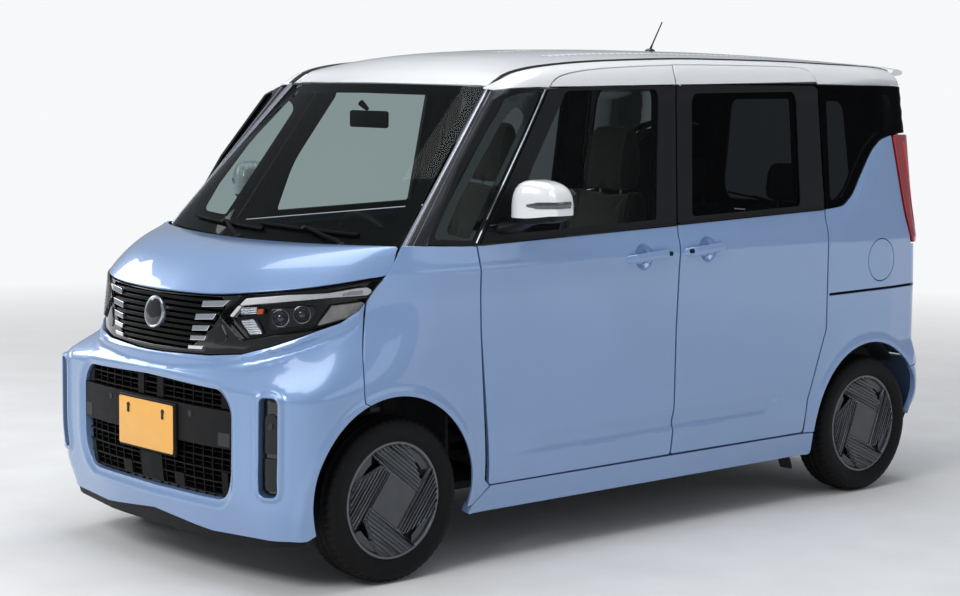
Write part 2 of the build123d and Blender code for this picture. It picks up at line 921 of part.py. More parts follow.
with BuildPart() as floor_pan:
    block((-599.7, 599.7), (-957, 1000), (250, 276))
    block((-599.7, 599.7), (975, 1000), (250, 456))
    block((-534, 534), (975, 1581), (430, 456))
    block((-250, 250), (60, 560), (188, 250))
    # Firewall, cowl, aprons and radiator support
    block((-600, 600), (-982, -957), (250, 1108))
    with BuildSketch(Plane.XY.offset(1078)):
        with BuildLine():
            ThreePointArc(
                (-600, glass_base_y + 0.77 * glass_bow),
                (0, glass_base_y - 8),
                (600, glass_base_y + 0.77 * glass_bow),
            )
            Polyline(
                (600, glass_base_y + 0.77 * glass_bow),
                (600, -960),
                (-600, -960),
                (-600, glass_base_y + 0.77 * glass_bow),
            )
        make_face()
    extrude(amount=28)
    for x in (-1, 1):
        block(
            tuple(sorted((x * 590, x * (640 - touch_gap)))),
            (hood_hinge[0] - 8, hood_hinge[0] + 14),
            (1090, hood_hinge[1] + 7),
        )
        with Locations((x * 645, *hood_hinge)):
            Cylinder(5, 20, rotation=(0, 90, 0))
    block((-560, 560), (-1585, -1560), (290, 690))
    for x0, x1 in ((385, 397), (-397, -385)):
        block((x0, x1), (-1575, -970), (300, 690))
        block((x0, x1), (-1540, -970), (690, 800))
    for x0, x1 in ((385, 687), (-687, -385)):
        block((x0, x1), (-1280, -970), (800, 822))
    # Room for the steered wheels, with its wall into the cabin
    for house in (steer_house.part, mirrored(steer_house.part)):
        add(house)
    for room_cut in (steer_room.part, mirrored(steer_room.part)):
        add(room_cut, mode=Mode.SUBTRACT)
    # Inner wheelhouses
    for x0, x1 in ((538, 652), (-652, -538)):
        with BuildSketch(Plane.YZ.offset(x0)):
            with Locations(rear_arch[:2]):
                Circle(rear_arch[2] + 18)
        extrude(amount=x1 - x0)
    for x0, x1 in ((544, 700), (-700, -544)):
        with BuildSketch(Plane.YZ.offset(x0)):
            with Locations(rear_arch[:2]):
                Circle(rear_arch[2] + 12)
        extrude(amount=x1 - x0, mode=Mode.SUBTRACT)
    for x0, x1 in ((500, 700), (-700, -500)):
        block((x0, x1), (1002, 1700), (-100, 350), mode=Mode.SUBTRACT)
        block((x0, x1), (1582, 1700), (300, 700), mode=Mode.SUBTRACT)
    for x0, x1 in ((599.7, 700), (-700, -599.7)):
        block((x0, x1), (900, 1002), (-100, sill_top + touch_gap), mode=Mode.SUBTRACT)
floor_pan.part.label = "floor_pan"
export_step(floor_pan.part, "parts/floor_pan.step")

# ------------------------------------------------------------------ drive and running gear
with BuildPart() as engine:
    block((-360, 360), (-1535, -1040), (245 + touch_gap, 880))
    fillet(engine.edges(), 20)
engine.part.label = "engine"
export_step(engine.part, "parts/engine.step")

with BuildPart() as exhaust:
    with BuildSketch(Plane.XZ.offset(940)):
        with Locations((-330, 214)):
            Circle(20)
    extrude(amount=-1560)
    block((-420, -200), (600, 960), (168, 242))
    block((-345, -315), (760, 790), (240, 250 - touch_gap))
    with BuildSketch(Plane.XZ.offset(-940)):
        with Locations((-330, 186)):
            Circle(16)
    extrude(amount=-640)
exhaust.part.label = "exhaust"
export_step(exhaust.part, "parts/exhaust.step")

with BuildPart() as tyre_form:
    with BuildSketch(Plane.XY):
        make_face(
            both_sides(
                [
                    (0, tyre_r, 0),
                    (58, tyre_r, 14),
                    (72, 262, 20),
                    (tyre_width / 2, 232, 25),
                    (63, 200, 0),
                    (56.6, 197, 0),
                    (56.6, 186.5, 0),
                    (52.2, 186.5, 0),
                    (51, rim_seat_dia / 2 + touch_gap, 0),
                ]
            )
        )
    revolve(axis=Axis.X)

with BuildPart() as wheel_form:
    with BuildSketch(Plane.XY):
        make_face(
            outline(
                [
                    (-57, 167, 0),
                    (-57, 186, 0),
                    (-52.5, 186, 0),
                    (-51.5, rim_seat_dia / 2, 0),
                    (51.5, rim_seat_dia / 2, 0),
                    (52.5, 186, 0),
                    (57, 186, 0),
                    (57, 167, 0),
                ]
            )
        )
        make_face(
            outline(
                [
                    (20, hub_bore_r + running_fit, 0),
                    (-10, hub_bore_r + running_fit, 0),
                    (-10, 60, 0),
                    (20, 60, 0),
                    (16, 120, 0),
                    (10, 168, 0),
                    (18, 168, 0),
                    (28, 120, 0),
                    (32, 60, 0),
                    (32, hub_bore_r + running_fit, 0),
                ]
            )
        )
    revolve(axis=Axis.X)
    with BuildSketch(Plane.YZ.offset(57)):
        Circle(196.5)
    extrude(amount=7)
    with BuildSketch(Plane.YZ.offset(57)):
        with PolarLocations(132, 4, start_angle=20):
            SlotOverall(92, 40, rotation=62)
    extrude(amount=7, mode=Mode.SUBTRACT)
    with BuildSketch(Plane.YZ.offset(38)):
        Circle(58)
        Circle(46, mode=Mode.SUBTRACT)
    extrude(amount=19)
    with BuildSketch(Plane.YZ.offset(30)):
        Circle(58)
        Circle(46, mode=Mode.SUBTRACT)
    extrude(amount=10)

wheel_places = [
    ("front_left", front_axle, False),
    ("front_right", front_axle, True),
    ("rear_left", rear_axle_y, False),
    ("rear_right", rear_axle_y, True),
]
for place, y, is_right in wheel_places:
    for kind, form in (("tyre", tyre_form), ("wheel", wheel_form)):
        with BuildPart() as placed:
            with Locations((wheel_x, y, axle_z)):
                add(form.part)
            if is_right:
                mirror(about=Plane.YZ, mode=Mode.REPLACE)
        placed.part.label = f"{kind}_{place}"
        export_step(placed.part, f"parts/{kind}_{place}.step")

with BuildPart() as knuckle_left:
    with BuildSketch(Plane.YZ.offset(568)):
        with Locations((front_axle, axle_z)):
            Circle(hub_r)
    extrude(amount=wheel_x - 10 - touch_gap - 568)
    with BuildSketch(Plane.YZ.offset(600)):
        with Locations((front_axle, axle_z)):
            Circle(hub_bore_r)
    extrude(amount=78)
    block((upright_x - 18, 600), (front_axle - 22, front_axle + 22), (245, 312))
    block((upright_x - 18, upright_x + 18), (front_axle - 18, front_axle + 18), (245, 577))
    block((upright_x - 18, 612), (front_axle - 20, front_axle + 20), (563, 577))
    with BuildSketch(Plane.XY.offset(155)):
        with Locations((kingpin_x, front_axle)):
            Circle(18)
    extrude(amount=80)
knuckle_left.part.label = "knuckle_left"
export_step(knuckle_left.part, "parts/knuckle_left.step")

with BuildPart() as knuckle_right:
    add(mirrored(knuckle_left.part))
knuckle_right.part.label = "knuckle_right"
export_step(knuckle_right.part, "parts/knuckle_right.step")

with BuildPart() as suspension_side:
    with BuildSketch(Plane.XY.offset(577 + touch_gap)):
        with Locations((kingpin_x, front_axle)):
            Circle(22)
    extrude(amount=800 - 577 - 2 * touch_gap)
    with BuildSketch(Plane.XY.offset(655)):
        with Locations((kingpin_x, front_axle)):
            Circle(50)
    extrude(amount=800 - touch_gap - 655)
    block((340, 612), (front_axle - 24, front_axle + 24), (136, 155 - touch_gap))
    block((300, 360), (-1290, -1045), (136, 245))

with BuildPart() as front_suspension:
    add(suspension_side.part)
    add(mirrored(suspension_side.part))
    block((-310, 310), (-1110, -1050), (175, 245))
front_suspension.part.label = "front_suspension"
export_step(front_suspension.part, "parts/front_suspension.step")

with BuildPart() as axle_side:
    with BuildSketch(Plane.YZ.offset(500)):
        with Locations((rear_axle_y, axle_z)):
            Circle(hub_r)
    extrude(amount=wheel_x - 10 - touch_gap - 500)
    with BuildSketch(Plane.YZ.offset(600)):
        with Locations((rear_axle_y, axle_z)):
            Circle(hub_bore_r)
    extrude(amount=78)
    block((492, 530), (880, rear_axle_y + 20), (196, 248))
    block((492, 530), (1160, rear_axle_y + 20), (196, 300))
    with BuildSketch(Plane.XY.offset(230)):
        with Locations((440, 1170)):
            Circle(45)
    extrude(amount=430 - touch_gap - 230)

with BuildPart() as rear_axle:
    add(axle_side.part)
    add(mirrored(axle_side.part))
    with BuildSketch(Plane.YZ.offset(-500)):
        with Locations((1170, 245)):
            Circle(34)
    extrude(amount=1000)
rear_axle.part.label = "rear_axle"
export_step(rear_axle.part, "parts/rear_axle.step")

# ------------------------------------------------------------------ interior
floor_top = 276 + touch_gap
front_seat_view = [
    (-500, 560, 20),
    (-470, 640, 30),
    (-60, 620, 40),
    (130, 1230, 40),
    (225, 1230, 40),
    (130, 620, 40),
    (60, 520, 20),
    (60, floor_top, 0),
    (-400, floor_top, 0),
    (-400, 520, 20),
]
front_headrest_view = [
    (175, 1215, 0),
    (160, 1270, 20),
    (185, 1440, 30),
    (265, 1430, 30),
    (240, 1260, 20),
    (205, 1215, 0),
]
rear_seat_view = [
    (740, 560, 20),
    (760, 680, 30),
    (1120, 650, 40),
    (1290, 1150, 40),
    (1380, 1150, 30),
    (1250, 640, 30),
    (1230, 456 + touch_gap, 0),
    (1030, 456 + touch_gap, 0),
    (1030, 540, 20),
    (800, 540, 20),
]
rear_headrest_view = [
    (1305, 1140, 0),
    (1310, 1180, 20),
    (1330, 1330, 30),
    (1405, 1325, 30),
    (1385, 1170, 20),
    (1345, 1140, 0),
]

# Seat shells: name, side view, headrest view, middle x, width
seat_rows = [
    ("front_seats", front_seat_view, front_headrest_view, 340, 480),
    ("rear_seat", rear_seat_view, rear_headrest_view, 266, 520),
]
for name, shell_rows, rest_rows, middle_x, wide in seat_rows:
    shell = outline(shell_rows)
    rest = outline(rest_rows)
    with BuildPart() as seats:
        for x in (middle_x, -middle_x):
            with BuildSketch(Plane.YZ.offset(x)):
                make_face(shell)
            extrude(amount=wide / 2, both=True)
            with BuildSketch(Plane.YZ.offset(x)):
                make_face(rest)
            extrude(amount=125, both=True)
    seats.part.label = name
    export_step(seats.part, f"parts/{name}.step")

dash_view = outline(
    [
        (cabin_front_y - 2 + touch_gap, 640, 0),
        (cabin_front_y - 2 + touch_gap, 1074, 0),
        (-820, 1104, 40),
        (-690, 1080, 40),
        (-650, 960, 30),
        (-720, 760, 30),
        (-860, 640, 30),
    ]
)
with BuildPart() as dashboard:
    with BuildSketch(Plane.YZ):
        make_face(dash_view)
    extrude(amount=590, both=True)
dashboard.part.label = "dashboard"
export_step(dashboard.part, "parts/dashboard.step")

steering_axis = Plane(origin=(-360, -400, 990), z_dir=(0, 0.86, 0.5))
with BuildPart() as steering_wheel:
    with Locations(steering_axis):
        Torus(175, 14)
        Cylinder(52, 40)
        Box(350, 26, 16)
    with Locations(steering_axis.offset(-10)):
        Cylinder(26, 330, align=(Align.CENTER, Align.CENTER, Align.MAX))
    add(dashboard.part, mode=Mode.SUBTRACT)
steering_wheel.part.label = "steering_wheel"
export_step(steering_wheel.part, "parts/steering_wheel.step")
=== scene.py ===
import json
from math import cos, pi, radians, sin, tan

import bmesh
import bpy
import numpy as np
from mathutils import Matrix, Vector, geometry
from mathutils.bvhtree import BVHTree

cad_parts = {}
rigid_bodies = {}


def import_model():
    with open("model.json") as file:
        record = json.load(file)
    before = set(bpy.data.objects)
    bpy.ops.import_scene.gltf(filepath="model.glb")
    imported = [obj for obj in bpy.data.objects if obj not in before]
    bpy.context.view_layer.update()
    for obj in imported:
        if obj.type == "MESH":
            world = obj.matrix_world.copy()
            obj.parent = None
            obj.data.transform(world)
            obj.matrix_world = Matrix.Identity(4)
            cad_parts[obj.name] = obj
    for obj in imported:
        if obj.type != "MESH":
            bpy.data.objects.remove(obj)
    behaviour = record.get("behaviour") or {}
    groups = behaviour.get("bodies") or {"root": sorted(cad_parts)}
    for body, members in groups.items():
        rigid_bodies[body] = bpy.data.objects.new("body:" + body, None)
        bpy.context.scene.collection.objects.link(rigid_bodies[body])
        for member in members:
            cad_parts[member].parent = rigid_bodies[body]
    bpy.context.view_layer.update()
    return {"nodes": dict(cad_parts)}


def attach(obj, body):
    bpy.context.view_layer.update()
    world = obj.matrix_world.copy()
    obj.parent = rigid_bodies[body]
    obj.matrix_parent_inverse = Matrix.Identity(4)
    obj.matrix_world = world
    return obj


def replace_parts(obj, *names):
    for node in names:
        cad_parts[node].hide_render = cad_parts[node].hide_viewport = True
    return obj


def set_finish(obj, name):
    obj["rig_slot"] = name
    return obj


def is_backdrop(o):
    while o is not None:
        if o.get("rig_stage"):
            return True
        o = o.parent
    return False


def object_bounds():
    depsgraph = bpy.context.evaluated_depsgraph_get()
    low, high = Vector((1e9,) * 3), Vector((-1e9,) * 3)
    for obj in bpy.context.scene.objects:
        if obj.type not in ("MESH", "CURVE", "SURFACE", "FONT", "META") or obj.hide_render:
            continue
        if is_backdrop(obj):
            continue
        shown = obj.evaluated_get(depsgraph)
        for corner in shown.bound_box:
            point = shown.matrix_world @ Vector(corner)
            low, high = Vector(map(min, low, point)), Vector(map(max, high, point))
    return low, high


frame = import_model()
LINKS = bpy.context.scene.collection.objects


# ---------------------------------------------------------------- camera
def aim(azimuth, elevation, roll):
    """Camera axes for a view azimuth, elevation and roll in degrees."""
    a, e, r = radians(azimuth), radians(elevation), radians(roll)
    back = Vector((sin(a) * cos(e), -cos(a) * cos(e), sin(e)))
    right = (-back).cross(Vector((0, 0, 1))).normalized()
    up = right.cross(-back)
    tilted = cos(r) * right + sin(r) * up
    m = Matrix((tilted, -sin(r) * right + cos(r) * up, back)).transposed()
    return m.to_4x4()


# The camera matched to the photograph: place, azimuth, elevation and roll, lens and shift
CAMERA_AT = (6.04392525, -5.6105373, 1.70481562)
CAMERA_TURN = (48.46213798, 5.68489584, 0.55617842)
cam_data = bpy.data.cameras.new("camera")
cam_data.sensor_width = 36
cam_data.lens = 79.379
cam_data.shift_x, cam_data.shift_y = 0.017576, -0.018554
cam_data.clip_end = 200
camera = bpy.data.objects.new("camera", cam_data)
camera.matrix_world = Matrix.Translation(CAMERA_AT) @ aim(*CAMERA_TURN)
LINKS.link(camera)
bpy.context.scene.camera = camera
bpy.context.scene.view_settings.view_transform = "Standard"


# ---------------------------------------------------------------- materials
def srgb(r, g, b):
    """Linear colour from 0-255 display values."""
    out = []
    for c in (r, g, b):
        c = c / 255
        out.append(c / 12.92 if c <= 0.04045 else ((c + 0.055) / 1.055) ** 2.4)
    return (*out, 1.0)


class Nodes:
    """Short helper for node trees."""

    def __init__(self, name):
        self.mat = bpy.data.materials.new(name)
        self.mat.use_nodes = True
        self.tree = self.mat.node_tree
        self.tree.nodes.clear()

    def add(self, kind, **values):
        """A node with settings and inputs by name; _ in a name stands for a space."""
        n = self.tree.nodes.new("ShaderNode" + kind)
        for key, value in values.items():
            if key in n.bl_rna.properties:
                setattr(n, key, value)
            else:
                self.put(n.inputs[key.replace("_", " ")], value)
        return n

    def put(self, socket, value):
        """A link or a plain value for an input."""
        if isinstance(value, bpy.types.NodeSocket):
            self.tree.links.new(value, socket)
        else:
            socket.default_value = value

    def noise(self, scale, detail=3.0, rough=0.55, stretch=None):
        where = self.add("TexCoord").outputs["Object"]
        if stretch:
            where = self.add("Mapping", Vector=where, Scale=stretch).outputs[0]
        return self.add("TexNoise", Vector=where, Scale=scale, Detail=detail, Roughness=rough).outputs[0]

    def ramp(self, fac, low, high, a=0.35, b=0.65):
        n = self.add("ValToRGB", Fac=fac)
        n.color_ramp.elements[0].position, n.color_ramp.elements[1].position = a, b
        n.color_ramp.elements[0].color, n.color_ramp.elements[1].color = low, high
        return n.outputs[0]

    def span(self, fac, low, high):
        return self.add("MapRange", Value=fac, To_Min=low, To_Max=high).outputs[0]

    def bump(self, height, strength, distance=0.001, normal=None):
        n = self.add("Bump", Height=height, Strength=strength, Distance=distance)
        if normal is not None:
            self.put(n.inputs["Normal"], normal)
        return n.outputs[0]

    def end(self, shader):
        self.tree.links.new(shader, self.add("OutputMaterial").inputs["Surface"])
        return self.mat


def shade(colour, f):
    """A colour made lighter or darker by a factor."""
    return (colour[0] * f, colour[1] * f, colour[2] * f, 1.0)


def solid(name, colour, rough, metallic=0.0, coat=0.0, vary=0.12, scale=14.0, grain=0.0, grain_scale=900.0,
        sheen=0.0, spread=0.25, coat_rough=0.03, ior=1.5):
    """Plastic, metal, rubber or paint with soft colour and gloss variation and a fine grain."""
    t = Nodes(name)
    broad = t.noise(scale)
    col = t.ramp(broad, shade(colour, 1 - vary), shade(colour, 1 + vary * 0.6))
    gloss = t.span(t.noise(scale * 5, 4.0), rough * (1 - spread), min(1.0, rough * (1 + spread)))
    b = t.add("BsdfPrincipled", Base_Color=col, Roughness=gloss, Metallic=metallic, Coat_Weight=coat,
        Coat_Roughness=coat_rough, Sheen_Weight=sheen, IOR=ior)
    if grain:
        t.put(b.inputs["Normal"], t.bump(t.noise(grain_scale, 2.0), grain, 0.0006))
    return t.end(b.outputs[0])


def paint(name, colour, flake=0.35, metallic=0.25, rough=0.34, vary=0.03):
    """Lacquered paint: coloured base with fine flakes under a clear coat."""
    t = Nodes(name)
    where = t.add("TexCoord").outputs["Object"]
    cells = t.add("TexVoronoi", Vector=where, Scale=2600.0)
    speck = t.ramp(cells.outputs["Color"], shade(colour, 1 - flake * 0.35), shade(colour, 1 + flake * 0.35),
        0.2, 0.8)
    broad = t.ramp(t.noise(2.2), shade(colour, 1 - vary), shade(colour, 1 + vary))
    col = t.add("MixRGB", blend_type="MIX", Fac=0.35, Color1=broad, Color2=speck).outputs[0]
    b = t.add("BsdfPrincipled", Base_Color=col, Metallic=metallic, Roughness=rough, Coat_Weight=1.0,
        Coat_Roughness=0.025, Coat_IOR=1.55)
    peel = t.bump(t.noise(160.0, 2.0), 0.035, 0.0004)
    t.put(b.inputs["Coat Normal"], peel)
    return t.end(b.outputs[0])


def pane(name, tint, gloss=0.02, veil=0.12):
    """Automotive glass on a single sheet: tinted and mirror-like at a glance."""
    t = Nodes(name)
    clear = t.add("BsdfTransparent", Color=tint)
    b = t.add("BsdfPrincipled", Base_Color=shade(tint, 0.05), Roughness=gloss, IOR=1.52)
    wave = t.bump(t.noise(5.0, 1.0), 0.02, 0.002)
    t.put(b.inputs["Normal"], wave)
    lean = t.add("LayerWeight", Blend=0.28).outputs["Fresnel"]
    fac = t.span(lean, veil, 0.92)
    mix = t.add("MixShader", Fac=fac)
    t.put(mix.inputs[1], clear.outputs[0])
    t.put(mix.inputs[2], b.outputs[0])
    return t.end(mix.outputs[0])


def rib_material(name, colour, rough, pitch, axis=(1, 0, 0), depth=0.4, metallic=0.0, coat=0.0):
    """A material with fine parallel ribs a pitch apart along an axis."""
    t = Nodes(name)
    where = t.add("TexCoord").outputs["Object"]
    turned = t.add("VectorMath", operation="DOT_PRODUCT")
    t.put(turned.inputs[0], where)
    t.put(turned.inputs[1], axis)
    phase = t.add("Math", operation="MULTIPLY")
    t.put(phase.inputs[0], turned.outputs["Value"])
    t.put(phase.inputs[1], 2 * pi / pitch)
    wave = t.add("Math", operation="SINE")
    t.put(wave.inputs[0], phase.outputs[0])
    col = t.ramp(t.noise(30.0), shade(colour, 0.85), shade(colour, 1.1))
    b = t.add("BsdfPrincipled", Base_Color=col, Roughness=rough, Metallic=metallic, Coat_Weight=coat)
    t.put(b.inputs["Normal"], t.bump(wave.outputs[0], depth, 0.0008))
    return t.end(b.outputs[0])


BLUE = srgb(132, 162, 206)
M = {"blue": paint("powder_blue_paint", BLUE), "white": paint("pearl_white_paint", srgb(232, 234, 236),
        flake=0.12, metallic=0.0, rough=0.3, vary=0.015), "gloss_black": solid("gloss_black",
        srgb(9, 9, 10), 0.12, coat=0.7, vary=0.2), "pillar": solid("satin_black_pillar", srgb(13, 15, 19),
        0.4, vary=0.05, ior=1.3), "pillar_blue": solid("pillar_blue_grey", srgb(20, 22, 28), 0.3, coat=0.25,
        vary=0.05, coat_rough=0.1), "pillar_silver": solid("pillar_silver", srgb(176, 178, 188), 0.24,
        metallic=0.8, vary=0.05), "mirror_lens": solid("mirror_lamp_lens", srgb(92, 94, 97), 0.16,
        metallic=0.7, coat=1.0, vary=0.3, scale=60.0), "frit": solid("glass_border_print", srgb(14, 16, 18),
        0.1, coat=1.0, vary=0.15), "plastic": solid("black_plastic", srgb(15, 15, 16), 0.5, vary=0.12,
        grain=0.25, grain_scale=1400.0, ior=1.3), "plastic_grey": solid("dark_grey_plastic",
        srgb(44, 45, 47), 0.55, vary=0.1, grain=0.3, grain_scale=1200.0),
    "mirror": solid("mirror_glass", srgb(208, 212, 218), 0.02, metallic=1.0, vary=0.02),
    "slat_black": solid("slat_black", srgb(7, 7, 8), 0.3, vary=0.12, ior=1.28),
    "grid_black": solid("grid_black", srgb(9, 9, 10), 0.5, vary=0.12, ior=1.25),
    "seam": solid("seam_black", srgb(7, 7, 8), 0.7, vary=0.1, ior=1.2),
    "rubber": solid("weather_rubber", srgb(24, 24, 25), 0.62, vary=0.15, grain=0.2),
    "tyre": solid("tyre_rubber", srgb(11, 11, 12), 0.66, vary=0.18, scale=22.0, grain=0.35,
        grain_scale=700.0, ior=1.3), "chrome": solid("chrome", srgb(228, 230, 234), 0.09, metallic=1.0,
        vary=0.04), "satin_chrome": solid("satin_chrome", srgb(196, 199, 205), 0.24, metallic=1.0,
        vary=0.05), "cover_dark": solid("wheel_cover_grey", srgb(74, 76, 80), 0.36, metallic=0.55,
        coat=0.25, vary=0.08), "cover_ridge": solid("wheel_cover_ridges", srgb(104, 107, 112), 0.3,
        # Light metal: a painted highlight along the wheel-cover blade edges, and a bright metal part in the
        # headlamps
        metallic=0.6, coat=0.3, vary=0.06), "cover_bright": solid("wheel_cover_facets", srgb(168, 171, 176),
        0.25, metallic=0.8, vary=0.05), "ribbed_clear": rib_material("lamp_ribbed_reflector",
        srgb(214, 217, 222), 0.12, 0.0055, (0, 0, 1), 0.9, metallic=0.9),
    "turn_lens": rib_material("lamp_turn_lens", srgb(188, 186, 180), 0.3, 0.004, (0, 0.3, 1), 0.6,
        coat=1.0), "ball_lens": solid("lamp_ball_lens", srgb(46, 50, 60), 0.03, coat=1.0, vary=0.2),
    "steel": solid("painted_steel", srgb(40, 41, 44), 0.55, metallic=0.3, vary=0.2, scale=20.0, grain=0.2),
    "cast": solid("cast_iron", srgb(82, 80, 77), 0.6, metallic=0.75, vary=0.25, scale=40.0, grain=0.5,
        grain_scale=300.0), "alloy": solid("engine_alloy_finish", srgb(120, 121, 122), 0.5, metallic=0.8,
        vary=0.2, scale=25.0, grain=0.4, grain_scale=250.0), "exhaust_steel": solid("exhaust_steel",
        srgb(120, 112, 100), 0.45, metallic=0.85, vary=0.25, scale=12.0, grain=0.3, grain_scale=200.0),
    "under": solid("underbody_coat", srgb(46, 47, 50), 0.75, vary=0.25, scale=18.0, grain=0.6,
        grain_scale=160.0), "plate": solid("blank_plate_amber", srgb(250, 186, 92), 0.42, vary=0.03,
        coat=0.2), "trim_light": solid("light_interior_trim", srgb(196, 192, 184), 0.6, vary=0.05,
        grain=0.3, grain_scale=1300.0), "trim_dark": solid("dark_interior_trim", srgb(42, 42, 45), 0.6,
        vary=0.1, grain=0.35, grain_scale=1300.0), "carpet": solid("floor_carpet", srgb(48, 47, 48), 0.95,
        vary=0.25, scale=60.0, grain=1.0, grain_scale=900.0, sheen=0.4),
    "red_lens": solid("red_lamp_lens", srgb(150, 10, 14), 0.08, coat=1.0, vary=0.1),
    "amber_red": solid("red_light_strip", srgb(214, 30, 30), 0.2, coat=1.0, vary=0.06),
    "amber": solid("amber_reflector", srgb(214, 92, 22), 0.15, coat=1.0, vary=0.08),
    "lamp_white": solid("white_light_guide", srgb(250, 251, 252), 0.2, coat=1.0, vary=0.03),
    "lamp_dark": solid("lamp_inner_black", srgb(9, 9, 11), 0.16, coat=0.35, vary=0.2, ior=1.35),
    # Side and windshield glass are darker than their own tint: partly real tint, partly painted shade of the
    # dim cabin seen through them
    "glass": pane("clear_glass", (0.56, 0.63, 0.62, 1.0), veil=0.07),
    "screen": pane("windshield_glass", (0.58, 0.66, 0.66, 1.0), veil=0.11),
    "privacy": pane("privacy_glass", (0.12, 0.13, 0.14, 1.0), veil=0.07),
    "lens": pane("lamp_clear_lens", (0.98, 0.99, 1.0, 1.0), gloss=0.01, veil=0.03)}


def cloth_material(name, colour, pitch=0.0022, depth=0.5):
    """Woven seat cloth: two crossed rows of threads with a soft sheen."""
    t = Nodes(name)
    where = t.add("TexCoord").outputs["Object"]
    warp = t.add("TexWave", Vector=where, Scale=1 / pitch / 3.2, Distortion=0.6, Detail=1.0)
    warp.bands_direction = "X"
    weft = t.add("TexWave", Vector=where, Scale=1 / pitch / 3.2, Distortion=0.6, Detail=1.0)
    weft.bands_direction = "Z"
    both = t.add("MixRGB", blend_type="MULTIPLY", Fac=1.0, Color1=warp.outputs[0],
        Color2=weft.outputs[0]).outputs[0]
    fleck = t.ramp(t.noise(420.0, 3.0), shade(colour, 0.72), shade(colour, 1.12), 0.3, 0.7)
    tone = t.ramp(t.noise(6.0), shade(colour, 0.92), shade(colour, 1.05))
    col = t.add("MixRGB", blend_type="MIX", Fac=0.5, Color1=fleck, Color2=tone).outputs[0]
    b = t.add("BsdfPrincipled", Base_Color=col, Roughness=0.9, Sheen_Weight=0.35, Sheen_Roughness=0.5)
    t.put(b.inputs["Normal"], t.bump(both, depth, 0.0006))
    return t.end(b.outputs[0])


M["seat"] = cloth_material("seat_cloth_main", srgb(112, 106, 100))
M["seat_side"] = cloth_material("seat_cloth_dark", srgb(66, 64, 63), depth=0.35)


# ---------------------------------------------------------------- curves and surfaces
def smooth(t):
    """Eases from 0 to 1 with flat ends."""
    t = np.clip(t, 0, 1)
    return t * t * (3 - 2 * t)


def curve(xs, ys):
    """Smooth function through a few points, with no overshoot."""
    xs, ys = np.array(xs, float), np.array(ys, float)
    h = np.diff(xs)
    d = np.diff(ys) / h
    m = np.zeros_like(ys)
    for i in range(1, len(xs) - 1):
        if d[i - 1] * d[i] > 0:
            w1, w2 = 2 * h[i] + h[i - 1], h[i] + 2 * h[i - 1]
            m[i] = (w1 + w2) / (w1 / d[i - 1] + w2 / d[i])
    m[0], m[-1] = d[0], d[-1]

    def f(t):
        t = np.asarray(t, float)
        i = np.clip(np.searchsorted(xs, t) - 1, 0, len(xs) - 2)
        s = np.clip((t - xs[i]) / h[i], 0, 1)
        return ((1 + 2 * s) * (1 - s) ** 2 * ys[i] + s * (1 - s) ** 2 * h[i] * m[i]
            + s * s * (3 - 2 * s) * ys[i + 1] + s * s * (s - 1) * h[i] * m[i + 1])

    return f


def rounded(rows, closed=True, step=0.009):
    """Dense path through corner rows (u, v, radius)."""
    out = []
    n = len(rows)
    for i, (u, v, r) in enumerate(rows):
        p = np.array((u, v), float)
        if r <= 0 or (not closed and i in (0, n - 1)):
            out.append(p)
            continue
        a = np.array(rows[i - 1][:2], float) - p
        b = np.array(rows[(i + 1) % n][:2], float) - p
        la, lb = np.linalg.norm(a), np.linalg.norm(b)
        a, b = a / la, b / lb
        half = 0.5 * np.arccos(np.clip(a @ b, -1, 1))
        if half > 1.56:
            out.append(p)
            continue
        t = min(r / tan(half), 0.495 * la, 0.495 * lb)
        c = p + (a + b) / np.linalg.norm(a + b) * (t / cos(half))
        v0, v1 = p + a * t - c, p + b * t - c
        ang = pi - 2 * half
        m = max(3, int(ang * t * tan(half) / step), int(ang / 0.22))
        for k in range(m + 1):
            w = k / m
            out.append(c + (v0 * sin((1 - w) * ang) + v1 * sin(w * ang)) / sin(ang))
    return even(np.array(out), step, closed)


def blunt(x, power):
    """A signed power of a sine or cosine, which squares a round section off."""
    return np.sign(x) * abs(x) ** power


def even(path, step=0.009, closed=True):
    """The path with no run longer than a step."""
    out = []
    n = len(path)
    for i in range(n if closed else n - 1):
        a, b = path[i], path[(i + 1) % n]
        m = max(1, int(np.ceil(np.linalg.norm(b - a) / step)))
        out += [a + (b - a) * k / m for k in range(m)]
    if not closed:
        out.append(path[-1])
    return np.array(out)


def inside(pts, path):
    """Which points lie inside a closed path."""
    x, y = pts[:, 0][:, None], pts[:, 1][:, None]
    a, b = path, np.roll(path, -1, 0)
    cross = (a[:, 1] > y) != (b[:, 1] > y)
    rise = np.where(b[:, 1] == a[:, 1], 1e-12, b[:, 1] - a[:, 1])
    at = a[:, 0] + (y - a[:, 1]) * (b[:, 0] - a[:, 0]) / rise
    return (np.sum(cross & (x < at), axis=1) % 2) == 1


def near(pts, path, closed=True):
    """Distance from points (n, 2) to a path."""
    a = path
    b = np.roll(path, -1, 0) if closed else path[1:]
    a = a if closed else a[:-1]
    d = b - a
    l2 = np.maximum((d ** 2).sum(1), 1e-12)
    out = np.full(len(pts), 9.0)
    for k in range(0, len(pts), 4000):
        p = pts[k:k + 4000]
        w = p[:, None, :] - a[None]
        t = np.clip((w * d[None]).sum(2) / l2, 0, 1)
        out[k:k + 4000] = np.sqrt(((w - t[..., None] * d[None]) ** 2).sum(2)).min(1)
    return out


def ring(path):
    """A closed path with its first point again at the end."""
    return np.concatenate([path, path[:1]])


def area(path):
    """Signed area inside a path, positive when it runs counter-clockwise."""
    a, b = path, np.roll(path, -1, 0)
    return 0.5 * np.sum(a[:, 0] * b[:, 1] - b[:, 0] * a[:, 1])


